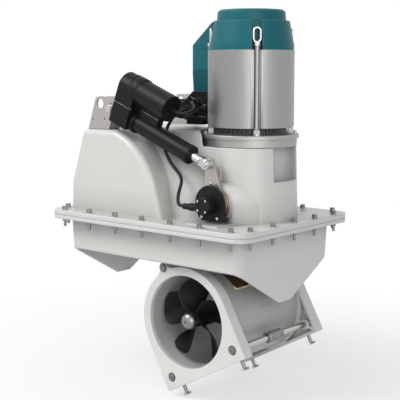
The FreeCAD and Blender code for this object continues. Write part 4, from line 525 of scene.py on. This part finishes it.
def placed(x, y, z, turn):
    """A frame at a spot in millimetres, turned about Y by an angle in degrees."""
    return Matrix.Translation((x, y, z)) @ Matrix.Rotation(math.radians(turn), 4, "Y")


# The whole model, the tunnel, the gear house in it and the electric cylinder, as they stand at rest
WHOLE = Matrix()
TUNNEL = placed(106.84, 0, -245.61, -29.0)
HOUSE = placed(106.84, 0, -245.61, 13.7)
CYLINDER = placed(-159.6, -168, 311.4, 21.895)


def along(start, end):
    """A frame at the start with its Z towards the end."""
    start, end = Vector(start), Vector(end)
    turn = (end - start).to_track_quat("Z", "Y").to_matrix().to_4x4()
    return Matrix.Translation(start) @ turn, (end - start).length


def turned(work, profile, place, steps=28):
    """A closed profile of (radius, height) swept round the place's Z."""
    loops = []
    for k in range(steps):
        angle = 2 * math.pi * k / steps
        ring = [Vector((r * math.cos(angle), r * math.sin(angle), h)) for r, h in profile]
        loops.append([work.verts.new((place @ spot) * MM) for spot in ring])
    for k in range(steps):
        here, there = loops[k], loops[(k + 1) % steps]
        for i in range(len(profile)):
            j = (i + 1) % len(profile)
            work.faces.new((here[i], there[i], there[j], here[j]))


def strip(work, low, high, own=WHOLE):
    """A flat bar between two corners in a piece's own frame."""
    middle = (Vector(low) + Vector(high)) / 2
    spread = Matrix.Diagonal((*(Vector(high) - Vector(low)), 1.0))
    place = Matrix.Scale(MM, 4) @ own @ Matrix.Translation(middle) @ spread
    bmesh.ops.create_cube(work, size=1.0, matrix=place)


def wire(work, start, end, radius, own=WHOLE):
    """A thin round bar with softened ends."""
    place, length = along(start, end)
    soft = radius * 0.4
    turned(work, [(0, 0), (radius - soft, 0), (radius, soft), (radius, length - soft),
                  (radius - soft, length), (0, length)], own @ place, 12)


def dome(work, foot, way, radius, high, own=WHOLE):
    """A low round head that stands on a spot and faces a direction."""
    place, _ = along(foot, Vector(foot) + Vector(way))
    turned(work, [(0, 0), (radius, 0), (radius, high * 0.35), (radius * 0.8, high * 0.8),
                  (radius * 0.4, high), (0, high)], own @ place, 20)


TOUCHING = 1e-7


def trim(name, work, material, node, edge=0.0):
    """Close the drawing of a trim piece and fix it to the body that carries a node."""
    bmesh.ops.remove_doubles(work, verts=work.verts, dist=TOUCHING)
    bmesh.ops.dissolve_degenerate(work, edges=work.edges, dist=TOUCHING)
    bmesh.ops.recalc_face_normals(work, faces=work.faces)
    mesh = bpy.data.meshes.new(name)
    work.to_mesh(mesh)
    work.free()
    mesh.shade_smooth()
    thing = piece(name, mesh, BODY_OF[node], material)
    if edge:
        bevel = thing.modifiers.new("rounded_edges", "BEVEL")
        bevel.width = edge * MM
        bevel.segments = 2
    split = thing.modifiers.new("crisp_corners", "EDGE_SPLIT")
    split.split_angle = SPLIT_ANGLE


# Cables: half thickness, and the same points as the routes of the solids, in millimetres

CABLES = {
    "sensor_cable": (4.5, [
        (112, -188, 67), (101, -188, 67), (91, -187, 72), (87, -183, 89), (87, -177, 107), (89, -170, 126),
        (80, -163, 141), (60, -155, 152), (38, -148, 165), (17, -142, 182), (0, -136, 203), (-10, -130, 227),
        (-11, -122, 251), (-7, -112, 273), (-1, -99, 294), (4, -83, 312), (4, -64, 312)]),
    "power_cable": (6.0, [
        (26, -64, 310), (26, -84, 310), (24, -105, 304), (34, -122, 296), (58, -124, 294), (72, -108, 302),
        (70, -84, 312), (70, -64, 312)]),
    "actuator_lead": (4.0, [
        (58.4, -168, 312.1), (72.3, -168, 306.5), (85, -160, 304), (93, -145, 308), (92, -125, 314),
        (81, -107, 322), (62, -95, 329), (48, -83, 332), (48, -64, 332)]),
}


def cable(node):
    """One lead as a smooth line along its route, which stands for its solid."""
    radius, route = CABLES[node]
    curve = bpy.data.curves.new(node + "_sheath", "CURVE")
    curve.dimensions = "3D"
    curve.bevel_depth = radius * MM
    curve.bevel_resolution = 5
    curve.resolution_u = 10
    spline = curve.splines.new("NURBS")
    spline.points.add(len(route) - 1)
    for point, spot in zip(spline.points, route):
        point.co = (*(c * MM for c in spot), 1.0)
    spline.order_u = 3
    spline.use_endpoint_u = True
    thing = into_scene(node + "_sheath", curve)
    curve.materials.append(MATERIALS["cable"])
    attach(thing, BODY_OF[node])
    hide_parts(node)


# Operators

class THRUSTER_OT_materials(bpy.types.Operator):
    """Build the materials that every piece uses"""
    bl_idname = "thruster.materials"
    bl_label = "Materials"

    def execute(self, context):
        make_materials(context.scene.thruster_colours)
        return {"FINISHED"}


class THRUSTER_OT_housing(bpy.types.Operator):
    """Finish the hull box, the gasket and the cover casting"""
    bl_idname = "thruster.housing"
    bl_label = "Housing"

    def execute(self, context):
        sizes = context.scene.thruster_sizes
        softened("hull_box", "casting", sizes.casting_edge, segments=3)
        softened("cover", "casting", sizes.casting_edge, segments=3)
        dress("gasket", "flange_gasket")
        work = bmesh.new()
        strip(work, (231, 170, 23.6), (235, 206, 24.15))
        trim("drain_slot", work, "iron", "cover")
        boss_shoulders()
        return {"FINISHED"}


# The shoulders of the pivot bosses, in millimetres: reach at the top and at the side, how far they
# bulge, and how deep their far edge lies in the tower's wall
SHOULDER_SHORT, SHOULDER_LONG, SHOULDER_SWELL, SHOULDER_SUNK = 5, 50, 5, 2.5


def tower_wall(x, z):
    """How far the tapering tower reaches out in Y at a place."""
    radius = TOWER_RADIUS - (z - TOWER_FOOT_Z) * TOWER_TAPER
    return math.sqrt(max(radius ** 2 - (x - MOTOR_AXIS_X) ** 2, 0.0))


def boss_outline():
    """Points round a pivot boss, on the side of the motor, with their way out and the reach there."""
    leg = [(MOTOR_AXIS_X + BOSS_RADIUS, z, 1.0, 0.0, SHOULDER_LONG) for z in (23, 40, 58)]
    arch = []
    for angle in range(0, 101, 10):
        out_x, out_z = math.cos(math.radians(angle)), math.sin(math.radians(angle))
        reach = SHOULDER_SHORT + (SHOULDER_LONG - SHOULDER_SHORT) * (abs(90 - angle) / 90) ** 2
        arch.append((MOTOR_AXIS_X + BOSS_RADIUS * out_x, BOSS_Z + BOSS_RADIUS * out_z, out_x, out_z, reach))
    return leg + arch


def boss_shoulders():
    """The sloping shoulders that lead from the face of each pivot boss into the round tower."""
    for side, name in ((-1, "boss_shoulder_front"), (1, "boss_shoulder_rear")):
        work = bmesh.new()
        rows = []
        for x, z, out_x, out_z, reach in boss_outline():
            far_y = tower_wall(x + out_x * reach, z + out_z * reach) - SHOULDER_SUNK
            row = [(x - 2 * out_x, tower_wall(x, z) - SHOULDER_SUNK, z - 2 * out_z)]
            for share in (0.2, 0.4, 0.6, 0.8):
                back_x, back_z = x + out_x * reach * share, z + out_z * reach * share
                row.insert(0, (back_x, tower_wall(back_x, back_z) - SHOULDER_SUNK, back_z))
            for step in range(7):
                share = step / 6
                swell = SHOULDER_SWELL * share * (1 - share)
                away = reach * share + swell
                fall = (far_y - BOSS_FACE_Y) * share
                row.append((x + out_x * away, BOSS_FACE_Y + fall + swell, z + out_z * away))
            rows.append([work.verts.new((px * MM, side * py * MM, pz * MM)) for px, py, pz in row])
        for here, there in zip(rows, rows[1:]):
            for i in range(len(here)):
                j = (i + 1) % len(here)
                work.faces.new((here[i], here[j], there[j], there[i]))
        work.faces.new(rows[0])
        work.faces.new(rows[-1])
        trim(name, work, "casting", "cover")


# The flange bolts' heads lie above the first height and their ends below the second
BOLT_HEAD_Z, BOLT_END_Z = 25.8 * MM, -9 * MM


class THRUSTER_OT_fasteners(bpy.types.Operator):
    """Finish the bolts, nuts and pins of the housing"""
    bl_idname = "thruster.fasteners"
    bl_label = "Fasteners"

    def execute(self, context):
        sizes = context.scene.thruster_sizes
        bolts = softened("flange_bolts", "bolt", sizes.small_edge)
        for spot in bolts.data.vertices:
            if spot.co.z > BOLT_HEAD_Z:
                spot.co.z += sizes.bolt_rise
            elif spot.co.z < BOLT_END_Z:
                spot.co.z -= sizes.bolt_drop
        softened("flange_nuts", "bolt", sizes.small_edge)
        dress("steel", "link_pins")
        return {"FINISHED"}


class THRUSTER_OT_motor(bpy.types.Operator):
    """Finish the drive motor and its terminal box"""
    bl_idname = "thruster.motor"
    bl_label = "Motor"

    def execute(self, context):
        sizes = context.scene.thruster_sizes
        softened("motor_jacket", "jacket", sizes.small_edge)
        softened("motor_cap", "teal", sizes.machined_edge)
        softened("motor_crown", "teal", sizes.machined_edge)
        raise_box(softened("control_box", "box", sizes.machined_edge), sizes.box_rise)
        softened("box_boot", "plastic", sizes.machined_edge)
        softened("adapter_ring", "turned", sizes.machined_edge)
        softened("motor_flange", "turned", sizes.machined_edge)
        softened("motor_lugs", "bolt", sizes.small_edge)
        dress("iron", "motor_core", "motor_rotor")
        dress("jacket", "motor_tie_bolts")
        dress("steel", "lifting_eyes")
        dress("rod", "motor_shaft")
        channel_lips()
        box_seam()
        boot_wire()
        boot_skirt()
        lead_duct()
        clamp_screws()
        return {"FINISHED"}


# Where the terminal box's top and its outer corner begin, and how far they move
BOX_TOP_Z, BOX_TOP_EDGE_X, BOX_TOP_SHIFT = 529.5 * MM, 80 * MM, 16 * MM
BOX_CORNER_Z, BOX_CORNER_X, BOX_CORNER_RISE = 460 * MM, 40 * MM, 10 * MM


def raise_box(box, rise):
    """Raise the terminal box's top to the cap's shoulder, and the outer corner below it a little."""
    for spot in box.data.vertices:
        if spot.co.z > BOX_TOP_Z:
            spot.co.z += rise
            spot.co.x += BOX_TOP_SHIFT if spot.co.x < BOX_TOP_EDGE_X else 0.0
        elif spot.co.z > BOX_CORNER_Z and spot.co.x < BOX_CORNER_X:
            spot.co.z += BOX_CORNER_RISE


def motor_corners():
    """The four places of the tie bolts round the motor, each with its X pointing out."""
    for corner in range(4):
        turn = Matrix.Rotation(math.radians(45 + 90 * corner), 4, "Z")
        yield Matrix.Translation((MOTOR_AXIS_X, 0, 0)) @ turn


def channel_lips():
    """The folded lips of the sheet beside each tie bolt, and the ledges behind them."""
    foot, top = 268.6, 467.4
    work = bmesh.new()
    for corner in motor_corners():
        for side in (-1, 1):
            low, high = sorted((side * 10.4, side * 16.2))
            strip(work, (111.6, low, foot), (113.4, high, top), corner)
            low, high = sorted((side * 6.7, side * 9.9))
            strip(work, (104.5, low, foot), (107.0, high, top), corner)
    trim("jacket_channel_lips", work, "jacket", "motor_jacket", edge=0.5)


def box_seam():
    """The dark line where the terminal box's lid meets the box."""
    work = bmesh.new()
    for side in (-1, 1):
        low, high = sorted((side * 49.4, side * 50.3))
        strip(work, (40, low, 471.0), (71, high, 472.4))
    trim("box_cover_seam", work, "plastic", "control_box")


def boot_wire():
    """A thin bright wire along the boot that stands in for its edge highlight, a painted highlight, with a
    bead at its end.
    """
    work = bmesh.new()
    for side in (-1, 1):
        y = side * 50.6
        # A thin bright wire where the boot's edge catches the light: painted highlight
        wire(work, (17.5, y, 344.7), (66, y, 323.4), 0.7)
        dome(work, (68, side * 50, 322.5), (0, side, 0), 2.4, 1.8)
    trim("boot_highlight_wire", work, "wire", "box_boot")


def boot_skirt():
    """The lower fold of the boot round the leads under the terminal box; its lowest block is dark plastic
    put where there is only shade under the box: painted shade.
    """
    work = bmesh.new()
    strip(work, (-10, -47, 281), (72, 47, 300.4))
    strip(work, (-6, -48.5, 288), (70, 48.5, 292))
    # A dark block where there is only shade under the terminal box: painted shade
    strip(work, (-6, -42, 269), (50, 42, 282))
    trim("boot_skirt", work, "plastic", "box_boot", edge=2.0)


def lead_duct():
    """The short duct beside the boot that takes the leads of the electric cylinder."""
    work = bmesh.new()
    strip(work, (-43, -46, 286), (14, 6, 337.5))
    strip(work, (-38, -47.2, 292), (8, -44, 331))
    trim("lead_duct", work, "plastic", "box_boot", edge=3.0)


def clamp_screws():
    """The hexagon screws and washers near the rim of the motor flange."""
    from_axis, top = 119.5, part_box("motor_flange")[1].z / MM
    work = bmesh.new()
    for corner in motor_corners():
        foot = corner @ Vector((from_axis, 0, top))
        place, _ = along(foot, foot + Vector((0, 0, 1)))
        turned(work, [(0, -0.3), (6.4, -0.3), (6.4, 1.4), (0, 1.4)], place, 24)
        turned(work, [(0, 1.4), (5.0, 1.4), (5.0, 7.0), (4.4, 7.8), (0, 7.8)], place, 6)
    trim("clamp_screws", work, "tie", "motor_flange")


class THRUSTER_OT_leg(bpy.types.Operator):
    """Finish the swinging leg, its gear house and the drive inside"""
    bl_idname = "thruster.leg"
    bl_label = "Leg"

    def execute(self, context):
        sizes = context.scene.thruster_sizes
        dress("bronze", "pivot_bushes")
        softened("leg", "leg", sizes.machined_edge)
        dress("shield", "leg_shield")
        softened("gear_house", "black", sizes.machined_edge)
        dress("rod", "leg_shaft", "prop_shaft")
        dress("iron", "drive_pinion", "bevel_wheel")
        dress("steel", "tilt_links")
        return {"FINISHED"}


class THRUSTER_OT_tunnel(bpy.types.Operator):
    """Finish the tunnel, its rings, rods and studs"""
    bl_idname = "thruster.tunnel"
    bl_label = "Tunnel"

    def execute(self, context):
        sizes = context.scene.thruster_sizes
        softened("ring_front", "ring", sizes.machined_edge)
        softened("ring_rear", "ring", sizes.machined_edge)
        dress("tube", "tunnel_tube", "guide_vanes", "slot_seal")
        dress("tie", "tunnel_tie_rods")
        dress("bolt", "tie_rod_heads", "hatch_studs")
        softened("rod_sleeve", "sleeve", sizes.machined_edge)
        head_rings()
        sleeve_sockets()
        window_rim(sizes.window_line)
        return {"FINISHED"}


TIE_SPOTS = [(0, 156.5), (118, -117.6), (-118, -117.6)]


def head_rings():
    """Dark sealing rings in the spot faces, round the heads of the tie rods."""
    work = bmesh.new()
    for x, z in TIE_SPOTS:
        for side in (-1, 1):
            place, _ = along((x, side * 178.8, z), (x, side * 190, z))
            turned(work, [(9.6, 0), (12.4, 0), (12.4, 0.5), (9.6, 0.5)], TUNNEL @ place)
            turned(work, [(1.6, 3.9), (3.4, 3.9), (3.4, 5.15), (1.6, 5.15)], TUNNEL @ place, 6)
    trim("tie_head_rings", work, "iron", "tie_rod_heads")


def sleeve_sockets():
    """The set screws of the sleeve that joins the two halves of the rod."""
    work = bmesh.new()
    x, z = TIE_SPOTS[1]
    for angle in (26.0, 206.0):
        way = Vector((math.cos(math.radians(angle)), 0, -math.sin(math.radians(angle))))
        for y in (-19, 19):
            foot = Vector((x, y, z)) + way * 14.6
            dome(work, foot, way, 3.0, 0.8, TUNNEL)
    trim("sleeve_sockets", work, "iron", "rod_sleeve")


def window_rim(thick):
    """The thin bronze line of cut edge round the tube's window."""
    radius, half, first, last = 136.2, 92.0, 8.0, 77.5
    corner_y, corner_angle = 12, 5.0
    curve = bpy.data.curves.new("window_rim", "CURVE")
    curve.dimensions = "3D"
    curve.bevel_depth = thick
    curve.bevel_resolution = 2
    points = []
    for y, angle, turns_back in ((-half, first, True), (-half, last, False), (half, last, True),
                                 (half, first, False)):
        inset = corner_angle if angle == first else -corner_angle
        before, after = (y, angle + inset), (y - math.copysign(corner_y, y), angle)
        points += [after, (y, angle), before] if turns_back else [before, (y, angle), after]
    spline = curve.splines.new("NURBS")
    spline.points.add(len(points) - 1)
    for point, (y, angle) in zip(spline.points, points):
        turn = math.radians(angle)
        spot = TUNNEL @ Vector((radius * math.sin(turn), y, radius * math.cos(turn)))
        point.co = (*(spot * MM), 1.0)
    spline.order_u = 3
    spline.use_cyclic_u = True
    piece("window_rim", curve, BODY_OF["tunnel_tube"], "rim")


class THRUSTER_OT_propeller(bpy.types.Operator):
    """Finish the propeller and its nose cap"""
    bl_idname = "thruster.propeller"
    bl_label = "Propeller"

    def execute(self, context):
        sizes = context.scene.thruster_sizes
        softened("propeller", "blade", sizes.small_edge)
        softened("prop_nose", "nose", sizes.machined_edge)
        nose_centre()
        return {"FINISHED"}


def nose_centre():
    """The centre mark on the tip of the nose, a ring round a dot."""
    work = bmesh.new()
    place, _ = along((0, -178, 0), (0, -190, 0))
    turned(work, [(2.0, -0.2), (3.6, -0.2), (3.6, 0.3), (2.0, 0.3)], HOUSE @ place)
    turned(work, [(0, -0.2), (1.6, -0.2), (1.6, 0.15), (0, 0.15)], HOUSE @ place)
    trim("nose_centre", work, "iron", "prop_nose")


class THRUSTER_OT_actuator(bpy.types.Operator):
    """Finish the electric cylinder, its brackets, the lever and the sensor"""
    bl_idname = "thruster.actuator"
    bl_label = "Electric cylinder"

    def execute(self, context):
        sizes = context.scene.thruster_sizes
        for node in ("actuator_gearbox", "actuator_tube", "actuator_motor", "actuator_motor_cap"):
            softened(node, "black", sizes.machined_edge)
        dress("rod", "actuator_rod")
        softened("rod_end", "rod", sizes.machined_edge)
        softened("lever_arm", "plate", sizes.machined_edge)
        dress("steel", "lever_screws", "actuator_pin", "sensor_screws")
        for node in ("bracket_front", "bracket_rear"):
            softened(node, "plate", sizes.small_edge)
        for node in ("sensor_plate", "sensor_body", "sensor_plug"):
            softened(node, "plastic", sizes.machined_edge)
        gearbox_lines()
        bracket_screws()
        lever_heads()
        return {"FINISHED"}


# The collar round the gearbox is this much flatter than round
COLLAR_FLATNESS = 0.936


def gearbox_lines():
    """The gearbox's thin bright wires, which stand in for its edge highlights (painted highlight), their
    screws, the motor's seams, and the collar between them.
    """
    work = bmesh.new()
    for side in (-1, 1):
        # Thin bright wires that stand in for edge highlights: painted highlight; the domes are screws
        wire(work, (25, side * 36.2, 36.2), (87, side * 36.2, 36.8), 0.5, CYLINDER)
        dome(work, (88, side * 33, 36.9), (1, 0, 0), 2.2, 1.8, CYLINDER)
        wire(work, (112, side * 12.2, 40.3), (168, side * 12.2, 41.0), 0.5, CYLINDER)
        dome(work, (170, side * 12, 41.1), (0, side, 0), 2.2, 1.8, CYLINDER)
    trim("gearbox_screws", work, "wire", "actuator_gearbox")
    work = bmesh.new()
    place, _ = along((88, 0, 82), (200, 0, 82))
    for low in (0.2, 90.0):
        high = low + 1.4
        turned(work, [(35.6, low), (36.5, low), (36.5, high), (35.6, high)], CYLINDER @ place, 48)
    trim("motor_seams", work, "plastic", "actuator_motor")
    work = bmesh.new()
    flush = CYLINDER @ place @ Matrix.Diagonal((COLLAR_FLATNESS, 1.0, 1.0, 1.0))
    turned(work, [(35.0, -27), (38.2, -27), (38.8, -26), (38.8, 1.0), (38.2, 2.0), (35.0, 2.0)],
           flush, 64)
    turned(work, [(35.0, -37), (38.3, -36), (38.3, -31), (35.0, -30)], flush, 64)
    trim("gearbox_collar", work, "black", "actuator_gearbox")


def bracket_screws():
    """Three small dark screws on the outer plate of each bracket."""
    for side, node in ((-1, "bracket_front"), (1, "bracket_rear")):
        work = bmesh.new()
        for x, z in ((-151.8, 326.0), (-154.0, 315.1), (-160.3, 303.4)):
            dome(work, (x, side * 188.4, z), (0, side, 0), 2.5, 1.1)
        trim(node + "_screws", work, "iron", node)


def lever_heads():
    """Two bright screw heads on the lever's face, above the clamp, and two on the sensor."""
    work = bmesh.new()
    for x, z in ((174.4, 142.5), (175.3, 128.1)):
        dome(work, (x, -156, z), (0, -1, 0), 3.6, 2.6)
    trim("lever_heads", work, "rod", "lever_arm")
    work = bmesh.new()
    for x, z in ((197.5, 88.5), (197, 60)):
        dome(work, (x, -204.8, z), (0, -1, 0), 2.7, 1.6)
    trim("sensor_heads", work, "rod", "sensor_body")


class THRUSTER_OT_cables(bpy.types.Operator):
    """Lay the three cables along their routes"""
    bl_idname = "thruster.cables"
    bl_label = "Cables"

    def execute(self, context):
        for node in CABLES:
            cable(node)
        return {"FINISHED"}


class THRUSTER_OT_stage(bpy.types.Operator):
    """Make the floor, the lights and the camera"""
    bl_idname = "thruster.stage"
    bl_label = "Stage"

    def execute(self, context):
        stage = context.scene.thruster_stage
        make_floor(stage)
        make_lights(stage)
        make_camera(stage)
        return {"FINISHED"}


# Floor, lights and camera

FLOOR_COLOUR = (0.98, 0.98, 0.98, 1)
# The floor fades out between these distances from its middle, in metres
FADE_FROM, FADE_TO = 0.35, 1.3


def seen_directly(tree):
    """1 for what the camera sees itself, in a mirror or through glass, and 0 for what lights."""
    ray = tree.nodes.new("ShaderNodeLightPath")
    direct = math_node(tree, "MAXIMUM", ray.outputs["Is Camera Ray"], ray.outputs["Is Glossy Ray"])
    return math_node(tree, "MAXIMUM", direct, ray.outputs["Is Transmission Ray"])


def mix_shader(tree, factor, first, second):
    """A blend of two shaders."""
    node = tree.nodes.new("ShaderNodeMixShader")
    for socket, value in zip(node.inputs, (factor, first, second)):
        tree.links.new(value, socket)
    return node.outputs["Shader"]


def make_floor(stage):
    """A pale floor that fades into the white background away from the object."""
    mesh = bpy.data.meshes.new("floor")
    work = bmesh.new()
    bmesh.ops.create_circle(work, cap_ends=True, segments=64, radius=stage.floor_radius)
    work.to_mesh(mesh)
    work.free()
    floor = into_scene("floor", mesh)
    floor.location = (0.1, 0, CAD_BOX[0].z - stage.floor_gap)
    finish = Finish("floor_paint", roughness=0.9)
    finish.shader.inputs["Base Color"].default_value = FLOOR_COLOUR
    tree = finish.tree
    length = tree.nodes.new("ShaderNodeVectorMath")
    length.operation = "LENGTH"
    tree.links.new(object_place(tree), length.inputs[0])
    fade = tree.nodes.new("ShaderNodeMapRange")
    fade.inputs["From Min"].default_value = FADE_FROM
    fade.inputs["From Max"].default_value = FADE_TO
    fade.inputs["To Min"].default_value = 1.0
    fade.inputs["To Max"].default_value = 0.0
    tree.links.new(length.outputs["Value"], fade.inputs["Value"])
    glow = tree.nodes.new("ShaderNodeEmission").outputs["Emission"]
    share = math_node(tree, "MULTIPLY", seen_directly(tree), stage.floor_glow)
    blend = mix_shader(tree, share, finish.shader.outputs["BSDF"], glow)
    clear = tree.nodes.new("ShaderNodeBsdfTransparent").outputs["BSDF"]
    edge = mix_shader(tree, fade.outputs["Result"], clear, blend)
    tree.links.new(edge, tree.nodes["Material Output"].inputs["Surface"])
    mesh.materials.append(finish.material)


# Name, place in metres, size in metres and power in watts
LIGHTS = [
    ("key", (-1.6, -2.8, 3.3), 2.2, 136.0),
    ("right", (2.9, -2.4, 0.9), 2.6, 54.0),
    ("top", (0.6, 1.0, 3.6), 2.0, 8.0),
]


def make_lights(stage):
    """Three broad lamps, and a world that is white behind the object."""
    aim = Vector((0.0, 0.0, 0.05))
    for name, place, size, power in LIGHTS:
        lamp = bpy.data.lights.new(name, "AREA")
        lamp.size = size
        lamp.energy = power
        thing = into_scene(name, lamp)
        thing.location = place
        thing.rotation_mode = "QUATERNION"
        thing.rotation_quaternion = (aim - Vector(place)).to_track_quat("-Z", "Y")
    world = bpy.data.worlds.new("studio")
    world.use_nodes = True
    bpy.context.scene.world = world
    tree = world.node_tree
    fill = tree.nodes["Background"]
    fill.inputs["Color"].default_value = WHITE
    fill.inputs["Strength"].default_value = stage.fill
    white = tree.nodes.new("ShaderNodeBackground")
    white.inputs["Color"].default_value = WHITE
    both = mix_shader(tree, seen_directly(tree), fill.outputs["Background"], white.outputs["Background"])
    tree.links.new(both, tree.nodes["World Output"].inputs["Surface"])
    bpy.context.scene.view_settings.view_transform = "Standard"


def make_camera(stage):
    """The photograph's own viewpoint."""
    camera = bpy.data.cameras.new("camera")
    camera.lens = stage.lens
    camera.sensor_width = 36.0
    camera.clip_start, camera.clip_end = 0.05, 50.0
    thing = into_scene("camera", camera)
    thing.location = stage.place
    thing.rotation_euler = (math.pi / 2 - stage.pitch, 0.0, stage.azimuth)
    bpy.context.scene.camera = thing


OPERATORS = (
    THRUSTER_OT_materials, THRUSTER_OT_stage, THRUSTER_OT_cables, THRUSTER_OT_housing,
    THRUSTER_OT_fasteners, THRUSTER_OT_motor, THRUSTER_OT_leg, THRUSTER_OT_tunnel,
    THRUSTER_OT_propeller, THRUSTER_OT_actuator)
SETTINGS = {"thruster_colours": ThrusterColours, "thruster_sizes": ThrusterSizes,
            "thruster_stage": ThrusterStage}


class THRUSTER_PT_panel(bpy.types.Panel):
    """Lists the pieces of the thruster"""
    bl_idname = "THRUSTER_PT_panel"
    bl_label = "Bow Thruster"
    bl_space_type = "VIEW_3D"
    bl_region_type = "UI"
    bl_category = "Thruster"

    def draw(self, context):
        for group in SETTINGS:
            settings = getattr(context.scene, group)
            for name in settings.__annotations__:
                self.layout.prop(settings, name)
        for operator in OPERATORS:
            self.layout.operator(operator.bl_idname)


def register():
    """Register the settings, the operators and the panel."""
    for name, settings in SETTINGS.items():
        bpy.utils.register_class(settings)
        setattr(bpy.types.Scene, name, bpy.props.PointerProperty(type=settings))
    for shown in OPERATORS + (THRUSTER_PT_panel,):
        bpy.utils.register_class(shown)


def unregister():
    """Take everything out again, in the opposite order."""
    for shown in reversed(OPERATORS + (THRUSTER_PT_panel,)):
        bpy.utils.unregister_class(shown)
    for name, settings in reversed(SETTINGS.items()):
        delattr(bpy.types.Scene, name)
        bpy.utils.unregister_class(settings)


def main():
    """Dress the whole object."""
    register()
    for operator in OPERATORS:
        group, name = operator.bl_idname.split(".")
        getattr(getattr(bpy.ops, group), name)()


if __name__ == "__main__":
    main()
